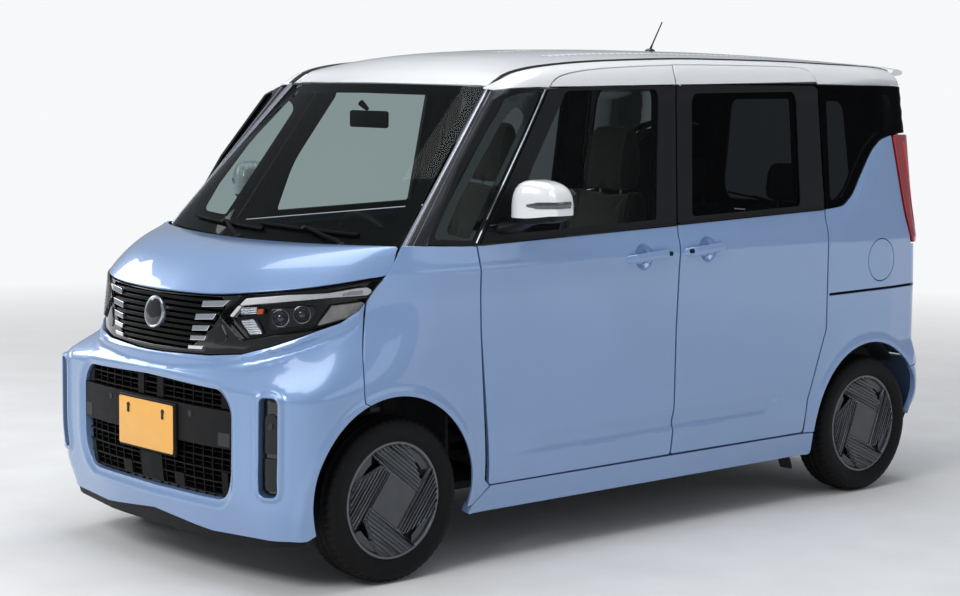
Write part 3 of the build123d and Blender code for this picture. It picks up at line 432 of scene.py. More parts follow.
def drawn_in(path, d):
    """A counter-clockwise path moved to its left by d; negative moves it out."""
    a = path - np.roll(path, 1, 0)
    b = np.roll(path, -1, 0) - path
    na = np.stack([-a[:, 1], a[:, 0]], 1) / np.maximum(np.linalg.norm(a, axis=1), 1e-9)[:, None]
    nb = np.stack([-b[:, 1], b[:, 0]], 1) / np.maximum(np.linalg.norm(b, axis=1), 1e-9)[:, None]
    k = 1 + (na * nb).sum(1)
    return path + (na + nb) * (d / np.maximum(k, 0.35))[:, None]


def mesh_object(name, verts, faces, mat, normals=None, smooth_it=True):
    """A mesh in the scene from points and faces, with given normals if any."""
    me = bpy.data.meshes.new(name)
    me.from_pydata([tuple(v) for v in verts], [], [tuple(int(i) for i in f) for f in faces])
    me.materials.append(M[mat])
    me.polygons.foreach_set("use_smooth", [smooth_it] * len(me.polygons))
    if normals is not None:
        me.normals_split_custom_set_from_vertices([tuple(n) for n in normals])
    me.update()
    o = bpy.data.objects.new(name, me)
    LINKS.link(o)
    return o


def unit(v):
    """Vectors scaled to length 1."""
    return v / np.maximum(np.linalg.norm(v, axis=-1, keepdims=True), 1e-12)


def normal_of(surf, u, v, h=0.0012):
    """A surface's unit normal from points a small step h away."""
    du = surf(u + h, v) - surf(u - h, v)
    dv = surf(u, v + h) - surf(u, v - h)
    return unit(np.cross(du, dv))


def panel(name, surf, path, mat, body="chassis", slot=None, holes=(), grid=0.014, soft=0.0022, flange=0.012,
        sink=0.0, inward=False, fine=(), hole_flange=None):
    """A sheet cut to a path on a surface, with rolled edges and a return flange, facing surf's normal."""
    loops = [path if area(path) > 0 else path[::-1]]
    loops += [h[::-1] if area(h) > 0 else h for h in holes]
    inner = [drawn_in(p, soft) for p in loops]
    base = np.concatenate(inner)
    lo, hi = loops[0].min(0), loops[0].max(0)
    gu, gv = np.meshgrid(np.arange(lo[0], hi[0], grid), np.arange(lo[1], hi[1], grid * 0.9))
    gu[1::2] += grid / 2
    pts = np.stack([gu.ravel(), gv.ravel()], 1)
    for f_grid, f_path, f_wide in fine:
        fu, fv = np.meshgrid(np.arange(lo[0], hi[0], f_grid), np.arange(lo[1], hi[1], f_grid))
        extra = np.stack([fu.ravel(), fv.ravel()], 1)
        extra = extra[near(extra, f_path, False) < f_wide]
        pts = np.concatenate([pts[near(pts, f_path, False) > f_wide], extra])
    keep = inside(pts, inner[0]) & (near(pts, inner[0]) > grid * 0.45)
    for h in inner[1:]:
        keep &= ~inside(pts, h) & (near(pts, h) > grid * 0.45)
    pts = pts[keep]
    every = np.concatenate([base, pts])
    edges, at = [], 0
    for p in inner:
        n = len(p)
        edges += [(at + i, at + (i + 1) % n) for i in range(n)]
        at += n
    got = geometry.delaunay_2d_cdt([Vector(p) for p in every], edges, [], 0, 1e-7)
    vs = np.array([tuple(v) for v in got[0]])
    tri = np.array([f for f in got[2] if len(f) == 3], int)
    mid = vs[tri].mean(1)
    ok = inside(mid, inner[0])
    for h in inner[1:]:
        ok &= ~inside(mid, h)
    tri = tri[ok]
    where = np.zeros(len(every), int)
    for k, ids in enumerate(got[3]):
        for i in ids:
            where[i] = k
    side = -1.0 if inward else 1.0
    n0 = normal_of(surf, vs[:, 0], vs[:, 1])
    p0 = surf(vs[:, 0], vs[:, 1]) - n0 * sink
    verts, norms, faces = [p0], [n0 * side], [tri if not inward else tri[:, ::-1]]
    count = len(p0)
    at = 0
    quads = []
    for k, loop in enumerate(loops):
        n = len(loop)
        last = where[at:at + n]
        at += n
        nn = normal_of(surf, loop[:, 0], loop[:, 1])
        tip = surf(loop[:, 0], loop[:, 1]) - nn * sink
        t = unit(tip - p0[last])
        nn = nn * side
        edge = tip - t * soft * 0.3
        depth = flange if k == 0 or hole_flange is None else hole_flange
        rows = [(edge - nn * soft * 0.3, unit(nn + t)), (tip - nn * soft, t), (tip - nn * (soft + depth), t)]
        for q, nq in rows:
            ids = np.arange(count, count + n)
            verts.append(q)
            norms.append(nq)
            count += n
            nxt = np.roll(np.arange(n), -1)
            f = np.stack([last[nxt], last, ids, ids[nxt]], 1)
            quads.append(f if not inward else f[:, ::-1])
            last = ids
    flat = [tuple(f) for f in faces[0]] + [tuple(f) for q in quads for f in q]
    o = mesh_object(name, np.concatenate(verts), flat, mat, np.concatenate(norms))
    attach(o, body)
    if slot:
        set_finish(o, slot)
    return o


def mirrored(surf):
    """The same surface on the other side, run through the other way so that outward stays outward."""
    def f(u, v):
        p = surf(-np.asarray(u, float), v)
        return p * np.array((-1.0, 1.0, 1.0))
    return f


def flipped(path):
    """A path on the other side of the centre plane."""
    return path * np.array((-1.0, 1.0))


CHASSIS = ("chassis", "chassis")


def pair(name, surf, path, mat, bodies=CHASSIS, slot=None, holes=(), **kw):
    """The same panel on both sides of the car."""
    fine = kw.pop("fine", ())
    left = panel(name + "_left", surf, path, mat, bodies[0], slot, holes, fine=fine, **kw)
    right = panel(name + "_right", mirrored(surf), flipped(path), mat, bodies[1], slot,
        [flipped(h) for h in holes], fine=[(g, flipped(p), w) for g, p, w in fine], **kw)
    return left, right


def twin(o, name, body):
    """A mirrored copy of a piece for the other side."""
    me = o.data.copy()
    me.transform(Matrix.Scale(-1, 4, (1, 0, 0)))
    me.flip_normals()
    c = bpy.data.objects.new(name, me)
    LINKS.link(c)
    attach(c, body)
    if "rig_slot" in o:
        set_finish(c, o["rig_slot"])
    return c


def loft(name, rows, mat, body="chassis", slot=None, closed_v=False, cap=False, auto=40.0, closed_u=False):
    """Skin over rows of points (m, n, 3); closed_v joins each row's ends."""
    rows = np.array(rows, float)
    m, n = rows.shape[:2]
    faces = []
    for i in range(m if closed_u else m - 1):
        for j in range(n if closed_v else n - 1):
            i2, j2 = (i + 1) % m, (j + 1) % n
            faces.append((i * n + j, i * n + j2, i2 * n + j2, i2 * n + j))
    if cap:
        faces += [tuple(range(n))[::-1], tuple((m - 1) * n + j for j in range(n))]
    o = mesh_object(name, rows.reshape(-1, 3), faces, mat)
    return finish_piece(o, body, slot, auto)


def finish_piece(o, body="chassis", slot=None, auto=40.0, bevel=0.0, segments=2):
    """Outward faces, sharp edges by angle, an optional bevel, and the body that the piece rides on."""
    bm = bmesh.new()
    bm.from_mesh(o.data)
    bmesh.ops.remove_doubles(bm, verts=bm.verts, dist=1e-6)
    bmesh.ops.recalc_face_normals(bm, faces=bm.faces)
    if bevel:
        sharp = [e for e in bm.edges if e.is_manifold and e.calc_face_angle(0) > radians(28)]
        bmesh.ops.bevel(bm, geom=sharp, offset=bevel, segments=segments, profile=0.5, affect="EDGES",
            clamp_overlap=True)
    bm.to_mesh(o.data)
    bm.free()
    o.data.polygons.foreach_set("use_smooth", [True] * len(o.data.polygons))
    o.data.set_sharp_from_angle(angle=radians(auto))
    if body:
        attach(o, body)
    if slot:
        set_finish(o, slot)
    return o


def box_piece(name, low, high, mat, body="chassis", slot=None, bevel=0.004, segments=3, shear=None):
    """A moulded block between two corners with rounded edges."""
    xs, ys, zs = zip(low, high)
    v = [(x, y, z) for x in xs for y in ys for z in zs]
    f = [(0, 1, 3, 2), (4, 6, 7, 5), (0, 4, 5, 1), (2, 3, 7, 6), (0, 2, 6, 4), (1, 5, 7, 3)]
    o = mesh_object(name, [shear(*p) if shear else p for p in v], f, mat)
    return finish_piece(o, body, slot, 40.0, bevel, segments)


def both_sides(name, rows, mat, bodies=CHASSIS, slot="black_trim", closed_v=True, cap=True):
    """A skin over rows of points on the left and its mirrored copy on the right."""
    left = loft(name + "_left", rows, mat, bodies[0], slot, closed_v, cap)
    return left, twin(left, name + "_right", bodies[1])


def cabin(name, low, high, mat, bevel=0.004, segments=3, body="chassis"):
    """A moulded block of the interior between two corners."""
    return box_piece(name, low, high, mat, body, "dash_plastic", bevel, segments)


def prism(name, path, depth0, depth1, place, mat, body="chassis", slot=None, bevel=0.0015, segments=2):
    """A path extruded between two depths; place maps (u, v, w) to a point."""
    n = len(path)
    v = [place(u, w, depth0) for u, w in path] + [place(u, w, depth1) for u, w in path]
    f = [tuple(range(n))[::-1], tuple(range(n, 2 * n))]
    f += [(i, (i + 1) % n, n + (i + 1) % n, n + i) for i in range(n)]
    o = mesh_object(name, v, f, mat)
    return finish_piece(o, body, slot, 35.0, bevel, segments)


def tube(name, pts, radius, mat, body="chassis", slot=None, sides=12, closed=False, cap=True):
    """A round bar along points, with a radius or one per point."""
    pts = np.array(pts, float)
    n = len(pts)
    rad = np.full(n, radius) if np.isscalar(radius) else np.array(radius)
    along = np.roll(pts, -1, 0) - np.roll(pts, 1, 0)
    if not closed:
        along[0], along[-1] = pts[1] - pts[0], pts[-1] - pts[-2]
    along = unit(along)
    ref = np.array((0.0, 0.0, 1.0)) if abs(along[0][2]) < 0.9 else np.array((1.0, 0.0, 0.0))
    rows = []
    side = unit(np.cross(along[0], ref))
    for p, t, r in zip(pts, along, rad):
        side = unit(side - t * (side @ t))
        up = np.cross(side, t)
        rows.append([p + r * (cos(a) * side + sin(a) * up) for a in np.linspace(0, 2 * pi, sides,
                    endpoint=False)])
    return loft(name, rows, mat, body, slot, closed_v=True, cap=cap and not closed, closed_u=closed)


def lathe(name, profile, mat, centre, axis="x", body="chassis", slot=None, sides=96, auto=32.0, flip=1):
    """A profile of (distance along the axis, radius) turned round an axis."""
    rows = []
    for a, r in profile:
        row = []
        for k in range(sides):
            w = 2 * pi * k / sides
            c, s = r * cos(w), r * sin(w)
            row.append((centre[0] + flip * a, centre[1] + c, centre[2] + s) if axis == "x"
                else (centre[0] + c, centre[1] + flip * a, centre[2] + s))
        rows.append(row)
    return loft(name, rows, mat, body, slot, closed_v=True, auto=auto)


# ---------------------------------------------------------------- body surfaces
FRONT, REAR, SIDE = -1.6975, 1.6975, 0.7375
NOSE_Y, TAIL_Y, NOSE_K, TAIL_K = -0.9, 1.35, 0.923, 0.70
NOSE_S, TAIL_S = -NOSE_Y + NOSE_K * pi / 2, TAIL_Y + TAIL_K * pi / 2
DEG = pi / 180


def plan(rows, cy, sign):
    """Polar radius of a plan curve round (0, cy) against the angle from the X axis."""
    path = even(rounded(rows, False), 0.004, False)
    ang = np.arctan2(sign * (path[:, 1] - cy), path[:, 0])
    order = np.argsort(ang)
    return ang[order], np.hypot(path[:, 0], path[:, 1] - cy)[order]


LOW_FRONT = plan([(0, FRONT + 0.0005, 0), (0.30, FRONT + 0.008, 1.6), (0.65, FRONT + 0.060, 0.115),
        (SIDE, FRONT + 0.168, 0.16), (SIDE, NOSE_Y, 0)], NOSE_Y, -1)
UP_FRONT = plan([(0, -1.672, 0), (0.16, -1.668, 1.0), (0.43, -1.615, 0.50), (0.622, -1.428, 0.60),
        (SIDE, -1.085, 0.80), (SIDE, NOSE_Y, 0)], NOSE_Y, -1)
LOW_REAR = plan([(0, REAR, 0), (0.35, REAR, 2.0), (0.695, REAR - 0.012, 0.055), (SIDE, REAR - 0.085, 0.07),
        (SIDE, TAIL_Y, 0)], TAIL_Y, 1)
UP_REAR = plan([(0, 1.672, 0), (0.4, 1.672, 2.0), (0.716, 1.652, 0.075), (SIDE, 1.44, 0.5),
        (SIDE, TAIL_Y, 0)], TAIL_Y, 1)

ledge_top = curve(np.array([0, 15, 25, 35, 45, 60, 90]) * DEG,
    [0.985, 0.965, 0.935, 0.875, 0.80, 0.765, 0.757])
ledge_low = curve(np.array([0, 25, 40, 60, 90]) * DEG, [0.72, 0.665, 0.635, 0.655, 0.662])
side_lean = curve([0.10, 0.19, 0.28, 0.38, 0.48, 1.03, 1.06, 1.12, 1.30, 1.62, 1.70],
    [0.055, 0.0375, 0.0155, 0.004, 0, 0, 0.0045, 0.0175, 0.040, 0.0775, 0.0885])
nose_lean = curve([0.10, 0.20, 0.30, 0.42, 0.66, 0.757, 0.94, 1.05],
    [0.055, 0.035, 0.011, 0, 0, 0, 0.020, 0.034])
tail_lean = curve([0.20, 0.30, 0.40, 0.60, 0.66, 0.80, 1.1, 1.69, 1.76],
    [0.06, 0.03, 0.0, 0, 0.0, 0.0, 0.012, 0.040, 0.075])
ditch_z = curve([-0.66, -0.572, -0.418, -0.096, 0.364, 0.775, 1.171, 1.421, 1.56, 1.62],
    [1.645, 1.694, 1.721, 1.743, 1.754, 1.751, 1.741, 1.733, 1.722, 1.70])
crease = curve([-1.30, -0.83, 0.168, 0.538, 1.016, 1.112, 1.175, 1.304, 1.43, 1.5],
    [1.03, 1.022, 1.063, 1.075, 1.088, 1.095, 1.129, 1.277, 1.42, 1.47])
DITCH_X, SIDE_TOP, SIDE_SPAN = 0.574, 1.60, 0.20
BAND = [(-2.3498, 0.748), (-2.251, 0.749), (-1.996, 0.757), (-1.848, 0.770), (-1.738, 0.797),
    (-1.633, 0.829), (-1.56, 0.853), (-1.48, 0.876), (-1.41, 0.915), (-1.385, 0.944)]
band_z = curve([p[0] for p in BAND], [p[1] for p in BAND])
FRONT_ARCH, REAR_ARCH = (-1.197, 0.285, 0.345), (1.315, 0.277, 0.338)
CUPS = ((-0.030, 1.034, 0.050), (0.316, 1.046, 0.050))


def y_to_u(y, x=SIDE):
    """Perimeter station of a point on the side at y."""
    y = np.asarray(y, float)
    ahead = NOSE_Y - NOSE_K * np.arctan2(NOSE_Y - y, x)
    behind = TAIL_Y + TAIL_K * np.arctan2(y - TAIL_Y, x)
    return np.where(y < NOSE_Y, ahead, np.where(y > TAIL_Y, behind, y))


def hollow(u):
    """Height of the lower edge of the long hollow low in the doors."""
    return 0.368 + 0.014 * smooth((u + 0.60) / 1.2) + 0.060 * smooth((u - 0.64) / 0.14)


def relief(u, v, y):
    """Outward swell of the sheet metal: shoulder crease, arch lips, nose ledge and the low door hollow."""
    out = np.zeros(u.shape)
    c = crease(np.clip(u, -1.3, 1.5))
    mid = smooth((u + 1.34) / 0.10) * smooth((1.42 - u) / 0.16)
    below = np.clip((c - v) / 0.085, 0, 1)
    out += mid * np.where(v < c, 0.0045 * (1 - below) ** 1.6, 0.0045 * np.exp(-(((v - c) / 0.03) ** 2)))
    for cy, cz, r in (FRONT_ARCH, REAR_ARCH):
        d = np.hypot(y - cy, v - cz) - r
        out += np.where(v < 1.0, 0.0050 * np.exp(-((d - 0.012) / 0.016) ** 2)
            + 0.0035 * np.exp(-(d / 0.06) ** 2), 0)
    line = hollow(u)
    along = smooth((u + 0.74) / 0.28) * smooth((0.80 - u) / 0.12)
    t = (v - line) / 0.052
    out += along * np.where(v > line, -0.0090 * np.exp(-(t - 0.55) ** 2 * 2.2) * smooth(t / 0.30),
        0.0015 * np.exp(-(t / 0.35) ** 2))
    for cu, cv, r in CUPS:
        out -= 0.023 * smooth((r - np.hypot(u - cu, v - cv)) / 0.020)
    z0 = band_z(np.clip(u, -2.3498, -1.385))
    lip = smooth((-1.36 - u) / 0.06)
    out += lip * (0.0070 * np.exp(-((v - z0 + 0.013) / 0.011) ** 2)
        - 0.0045 * np.exp(-((v - z0 + 0.044) / 0.012) ** 2))
    return out


def bare(u, v):
    """The smooth body surface at perimeter station u and height v; past SIDE_TOP v runs over the rail."""
    u, v = np.broadcast_arrays(np.asarray(u, float), np.asarray(v, float))
    z = np.minimum(v, SIDE_TOP)
    x, y = np.full(u.shape, SIDE), u.copy()
    a = np.clip((NOSE_Y - u) / NOSE_K, 0, pi / 2)
    w = smooth((z - ledge_low(a)) / (ledge_top(a) - ledge_low(a)))
    r = np.interp(a, *LOW_FRONT) * (1 - w) + np.interp(a, *UP_FRONT) * w
    over = (NOSE_Y - u) / NOSE_K - pi / 2
    f = u < NOSE_Y
    x = np.where(f, np.where(over > 0, -over * r, r * np.cos(a)), x)
    y = np.where(f, NOSE_Y - r * np.sin(a) * (1 - nose_lean(z) / 0.78), y)
    b = np.clip((u - TAIL_Y) / TAIL_K, 0, pi / 2)
    past = (u - TAIL_Y) / TAIL_K - pi / 2
    w = smooth((z - 0.52) / 0.10)
    r = np.interp(b, *LOW_REAR) * (1 - w) + np.interp(b, *UP_REAR) * w
    t = u > TAIL_Y
    x = np.where(t, np.where(past > 0, -past * r, r * np.cos(b)), x)
    y = np.where(t, TAIL_Y + r * np.sin(b) * (1 - tail_lean(np.minimum(v, 1.76)) / 0.33), y)
    x = x * (1 - side_lean(z) / SIDE)
    th = np.clip((v - SIDE_TOP) / SIDE_SPAN, 0, 1) * pi / 2
    rise = ditch_z(np.clip(y, -0.66, 1.62)) - SIDE_TOP
    edge = DITCH_X * np.clip(x / 0.6625, 0, 1)
    top = v > SIDE_TOP
    x = np.where(top, edge + (x - edge) * np.cos(th) ** 0.85, x)
    z = np.where(top, SIDE_TOP + np.maximum(rise, 0.02) * np.sin(th) ** 0.85, z)
    return np.stack([x, y, z], -1)


def skin(u, v):
    """The body surface with its pressed forms, left side."""
    u, v = np.broadcast_arrays(np.asarray(u, float), np.asarray(v, float))
    p = bare(u, v)
    h = 0.003
    n = unit(np.cross(bare(u + h, v) - bare(u - h, v), bare(u, v + h) - bare(u, v - h)))
    return p + n * relief(u, v, p[..., 1])[..., None]


def both_ways(surf, origin, sign):
    """A surface over the middle of the car: s is 0 on the centre plane and mirrored across it."""
    def f(s, v):
        s = np.asarray(s, float)
        p = surf(origin + sign * np.abs(s), v)
        flip = np.where(s * sign < 0, -1.0, 1.0)
        return np.stack([p[..., 0] * flip, p[..., 1], p[..., 2]], -1)
    return f


nose = both_ways(skin, -NOSE_S, 1.0)
tail = both_ways(skin, TAIL_S, -1.0)


def arch(centre, a0, a1, grow=0.0, n=40):
    """Wheel arch edge in (u, z) between two angles from the rear horizontal."""
    cy, cz, r = centre
    t = np.linspace(a0, a1, n) * DEG
    return np.stack([y_to_u(cy + (r + grow) * np.cos(t)), cz + (r + grow) * np.sin(t)], 1)


def full(half):
    """Closed symmetric path from one half that starts and ends on the centre plane, both ends included."""
    half = np.array(half, float)
    back = half[::-1] * np.array((-1.0, 1.0))
    path = np.concatenate([half, back[np.abs(back[:, 0]) > 1e-6]])
    return path


def join(*parts):
    """One path from several."""
    return np.concatenate([np.atleast_2d(np.array(p, float)) for p in parts])


def to_s(path):
    """A path in u, measured from the centre of the nose instead."""
    return path + np.array((NOSE_S, 0.0))


# ---------------------------------------------------------------- side panels
HALF_SEAM = 0.0025
front_low = rounded([(-0.768, 0.281, 0.012), (0.141, 0.284, 0.010), (0.146, 0.751, 0.3),
        (0.164, 1.137, 0.003), (-0.829, 1.110, 0.003), (-0.821, 0.82, 0.8)])
slide_low = rounded([(0.148, 0.284, 0.010), (0.908, 0.284, 0.012), (0.920, 0.42, 0.05), (0.985, 0.59, 0.12),
        (1.024, 0.69, 0.08), (1.024, 1.164, 0.003), (0.171, 1.139, 0.003), (0.153, 0.751, 0.3)])
front_hole = rounded([(-0.638, 1.144, 0.018), (0.058, 1.164, 0.012), (0.112, 1.626, 0.028),
        (-0.364, 1.626, 0.035), (-0.572, 1.334, 0.4)])
slide_hole = rounded([(0.252, 1.168, 0.014), (0.880, 1.185, 0.020), (0.896, 1.620, 0.035),
        (0.292, 1.614, 0.028)])
front_frame = rounded([(-0.814, 1.116, 0.004), (0.163, 1.143, 0.003), (0.204, 1.637, 0.003),
        (-0.444, 1.637, 0.02)])
slide_frame = rounded([(0.171, 1.145, 0.003), (1.024, 1.170, 0.003), (1.030, 1.640, 0.03),
        (0.211, 1.637, 0.003)])
top_seam = curve([-0.443, -0.418, -0.384, -0.340, -0.303, -0.230, -0.151, 0.0, 0.219],
    [1.641, 1.666, 1.685, 1.697, 1.703, 1.710, 1.714, 1.719, 1.723])
end_seam = curve([0.219, 0.80, 0.927, 0.966, 0.997, 1.010, 1.022, 1.030],
    [1.724, 1.725, 1.724, 1.718, 1.704, 1.692, 1.670, 1.644])
front_top = np.array([(u, float(top_seam(u)) - HALF_SEAM) for u in np.linspace(0.213, -0.436, 44)]
    + [(0.205, 1.641)])
slide_top = np.array([(u, float(end_seam(u)) - HALF_SEAM) for u in np.linspace(1.026, 0.220, 50)]
    + [(0.211, 1.641)])

DOORS = ("front_door_left", "front_door_right")


def along_crease(start, end, n):
    """Points on the shoulder crease, where a panel's mesh is finer."""
    return np.array([(u, float(crease(u))) for u in np.linspace(start, end, n)])


CUP_FINE = [(0.005, np.array([(u, v), (u + 0.001, v)]), 0.056) for u, v, _ in CUPS]
HOLLOW_FINE = [(0.006, np.array([(u, float(hollow(u)) + 0.006) for u in np.linspace(a, b, 70)]), 0.020)
    for a, b in ((-0.74, 0.15), (0.15, 0.80))]
fd = pair("front_door_skin", skin, front_low, "blue", DOORS, "body_paint",
    fine=((0.008, along_crease(-0.83, 0.16, 40), 0.03), CUP_FINE[0], HOLLOW_FINE[0]), grid=0.016)
sd = pair("sliding_door_skin", skin, slide_low, "blue", slot="body_paint",
    fine=((0.008, along_crease(0.15, 1.03, 40), 0.03), CUP_FINE[1], HOLLOW_FINE[1]), grid=0.016)
pair("front_door_frame", skin, front_frame, "pillar", DOORS, "black_trim", [front_hole], grid=0.03,
    hole_flange=0.016)
pair("sliding_door_frame", skin, slide_frame, "pillar", slot="black_trim", holes=[slide_hole], grid=0.03,
    hole_flange=0.016)
pair("front_door_top", skin, front_top, "white", DOORS, "roof_paint", grid=0.02)
pair("sliding_door_top", skin, slide_top, "white", slot="roof_paint", grid=0.02)
for o, n in zip(fd, DOORS):
    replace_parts(o, n)
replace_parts(sd[0], "sliding_door_left")
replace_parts(sd[1], "sliding_door_right")
g = pair("front_door_pane", skin, drawn_in(front_hole, -0.006), "glass", DOORS, "window_glass", grid=0.04,
    sink=0.006, flange=0.002, soft=0.001)
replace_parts(g[0], "front_door_glass_left")
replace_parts(g[1], "front_door_glass_right")
pair("sliding_door_pane", skin, drawn_in(slide_hole, -0.006), "privacy", slot="window_glass", grid=0.04,
    sink=0.006, flange=0.002, soft=0.001)

# Fender, sill, quarter panel and roof rail
fender = join([(-0.838, 0.2185), (-0.852, 0.2155)], arch(FRONT_ARCH, 349, 360 + 109),
    rounded([(-1.387, 0.612, 0), (-1.388, 0.76, 0), (-1.378, 0.944, 0.004), (-1.345, 0.985, 0.05),
            (-1.296, 1.030, 0.004), (-1.214, 1.123, 0.004), (-0.836, 1.109, 0.003), (-0.827, 0.82, 0.8),
            (-0.7905, 0.300, 0.01), (-0.7640, 0.2765, 0.003)], False)[1:])
flare = arch(FRONT_ARCH, -10, 112)
fn = pair("fender_skin", skin, fender, "blue", slot="body_paint", flange=0.0085,
    fine=((0.007, flare, 0.045), (0.008, along_crease(-1.34, -0.83, 30), 0.03)), grid=0.014)
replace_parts(fn[0], "front_fenders")
sill = rounded([(-0.850, 0.184, 0.008), (0.984, 0.186, 0.02), (0.972, 0.2775, 0.004),
        (-0.757, 0.2765, 0.003), (-0.838, 0.2125, 0.003)])
pair("sill_skin", skin, sill, "blue", slot="body_paint", grid=0.02, flange=0.03)
quarter = join(rounded([(0.918, 0.281, 0.004), (0.977, 0.281, 0.004)], False), arch(REAR_ARCH, 180, 40)[2:],
    rounded([(1.575, 0.498, 0), (1.655, 0.521, 0.006), (1.66, 0.60, 0), (1.64, 1.00, 0.02),
            (1.572, 1.005, 0.01), (1.496, 1.452, 0.02), (1.484, 1.451, 0.02), (1.417, 1.437, 0.10),
            (1.352, 1.392, 0.2), (1.276, 1.302, 0.2), (1.214, 1.221, 0.12), (1.151, 1.175, 0.12),
            (1.031, 1.165, 0.003), (1.031, 0.69, 0.08), (0.992, 0.588, 0.12), (0.927, 0.42, 0.05)],
        False)[1:])
FUEL = np.array([(1.367 + 0.083 * cos(t), 0.950 + 0.088 * sin(t))
        for t in np.linspace(0, 2 * pi, 64, endpoint=False)])
RAIL_SLOT = rounded([(1.040, 0.822, 0.004), (1.612, 0.830, 0.005), (1.612, 0.840, 0.005),
        (1.040, 0.832, 0.004)])
qt = pair("quarter_skin", skin, quarter, "blue", slot="body_paint", holes=[FUEL, RAIL_SLOT], grid=0.014,
    fine=((0.007, arch(REAR_ARCH, -5, 185), 0.045),))
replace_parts(qt[0], "body_side_left")
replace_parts(qt[1], "body_side_right")
pair("fuel_lid", skin, FUEL * np.array((0.972, 0.968)) + np.array((1.367 * 0.028, 0.950 * 0.032)), "blue",
    slot="body_paint", grid=0.02)
pair("rail_slot_floor", skin, drawn_in(RAIL_SLOT, -0.003), "seam", slot="black_trim", sink=0.010, grid=0.05,
    flange=0.001, soft=0.001)
quarter_black = rounded([(1.034, 1.171, 0.003), (1.149, 1.181, 0.12), (1.210, 1.226, 0.12),
        (1.272, 1.307, 0.2), (1.348, 1.397, 0.2), (1.414, 1.443, 0.10), (1.484, 1.457, 0.02),
        (1.63, 1.462, 0.01), (1.63, 1.650, 0.01), (1.034, 1.6425, 0.003)])
quarter_hole = rounded([(1.070, 1.197, 0.02), (1.140, 1.206, 0.10), (1.197, 1.246, 0.12),
        (1.258, 1.327, 0.2), (1.335, 1.418, 0.2), (1.410, 1.468, 0.10), (1.505, 1.487, 0.03),
        (1.520, 1.612, 0.03), (1.085, 1.612, 0.04)])
pair("quarter_border", skin, drawn_in(quarter_black, 0.001), "frit", slot="window_glass",
    holes=[quarter_hole], grid=0.03, sink=0.0045, flange=0.002, hole_flange=0.001, soft=0.001)
qg = pair("quarter_pane", skin, quarter_black, "privacy", slot="window_glass", grid=0.03, flange=0.003,
    soft=0.0015)
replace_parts(qg[0], "fixed_side_glass")
light_frame = rounded([(-1.100, 1.122, 0.01), (-0.822, 1.114, 0.003), (-0.450, 1.637, 0.01),
        (-0.550, 1.647, 0.05), (-0.600, 1.659, 0.03), (-0.640, 1.690, 0.01)])
light_outer = rounded([(-1.062, 1.140, 0.012), (-0.846, 1.128, 0.012), (-0.474, 1.625, 0.014),
        (-0.560, 1.630, 0.05), (-0.632, 1.642, 0.01)])
light_hole = rounded([(-0.985, 1.158, 0.014), (-0.862, 1.137, 0.014), (-0.562, 1.548, 0.05),
        (-0.602, 1.586, 0.03), (-0.672, 1.532, 0.03)])
pair("quarter_light_frame", skin, light_frame, "pillar", slot="black_trim", holes=[light_outer], grid=0.03)
pair("quarter_light_border", skin, drawn_in(light_outer, -0.003), "frit", slot="window_glass",
    holes=[light_hole], grid=0.03, sink=0.0050, flange=0.002, hole_flange=0.001, soft=0.001)
pair("quarter_light_pane", skin, drawn_in(light_outer, -0.001), "glass", slot="window_glass", grid=0.05,
    sink=0.001, flange=0.002, soft=0.001)
rail_front = [(-0.442, 1.642), (-0.500, 1.648), (-0.550, 1.652), (-0.600, 1.664), (-0.640, 1.696),
    (-0.668, 1.740), (-0.684, 1.797)]
rail = join(rail_front, [(1.62, 1.797), (1.625, 1.653), (1.036, 1.647)],
    [(u, float(end_seam(u)) + HALF_SEAM) for u in np.linspace(1.034, 0.219, 50)],
    [(u, float(top_seam(u)) + HALF_SEAM) for u in np.linspace(0.215, -0.441, 44)])
pair("roof_rail", skin, rail, "white", slot="roof_paint", grid=0.02, flange=0.004)

# ---------------------------------------------------------------- roof
roof_mid = curve([-0.73, -0.70, -0.66, -0.6, -0.5, -0.4, -0.2, 0, 0.3, 0.7, 1.1, 1.4, 1.52, 1.6],
    [1.628, 1.652, 1.675, 1.705, 1.738, 1.757, 1.774, 1.783, 1.787, 1.785, 1.776, 1.763, 1.755, 1.742])


def roof(x, y):
    """The roof panel between the ditches, with its two long ribs."""
    x, y = np.broadcast_arrays(np.asarray(x, float), np.asarray(y, float))
    bow = 0.070 * (x / 0.55) ** 2 * smooth((-0.2 - y) / 0.5)
    top = roof_mid(y - bow)
    end = ditch_z(np.clip(y - 0.25 * bow, -0.66, 1.62)) - 0.002
    z = top - (top - np.minimum(end, top)) * (np.abs(x) / 0.568) ** 2.6
    rib = 0
    for c in (0.14, 0.40):
        rib = rib + np.exp(-((np.abs(x) - c) / 0.012) ** 4) * smooth((y + 0.25) / 0.05) * smooth((1.35 - y)
            / 0.05)
    return np.stack([x, y, z - 0.0035 * rib], -1)


lead = [(x, -0.700 + 0.070 * (x / 0.55) ** 2) for x in np.linspace(0, 0.535, 26)]
roof_path = full(join(lead, rounded([(0.545, -0.62, 0), (0.566, -0.56, 0.05), (0.5665, 1.585, 0.02),
                (0.40, 1.600, 0.2), (0, 1.606, 0)], False)))
rf = panel("roof_skin", roof, roof_path, "white", slot="roof_paint", grid=0.018, flange=0.016)
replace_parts(rf, "roof_panel")
for s, n in ((1, "left"), (-1, "right")):
    ys = np.linspace(-0.655, 1.60, 70)
    strip = []
    for dx, dz in ((-0.010, -0.008), (-0.006, 0.0005), (0.0, 0.0022), (0.006, 0.0022), (0.0095, -0.006)):
        strip.append([(s * (DITCH_X - 0.004 + dx), y, float(ditch_z(min(max(y, -0.66), 1.62))) + dz)
                for y in ys])
    loft("roof_ditch_strip_" + n, strip, "rubber", slot="black_trim")

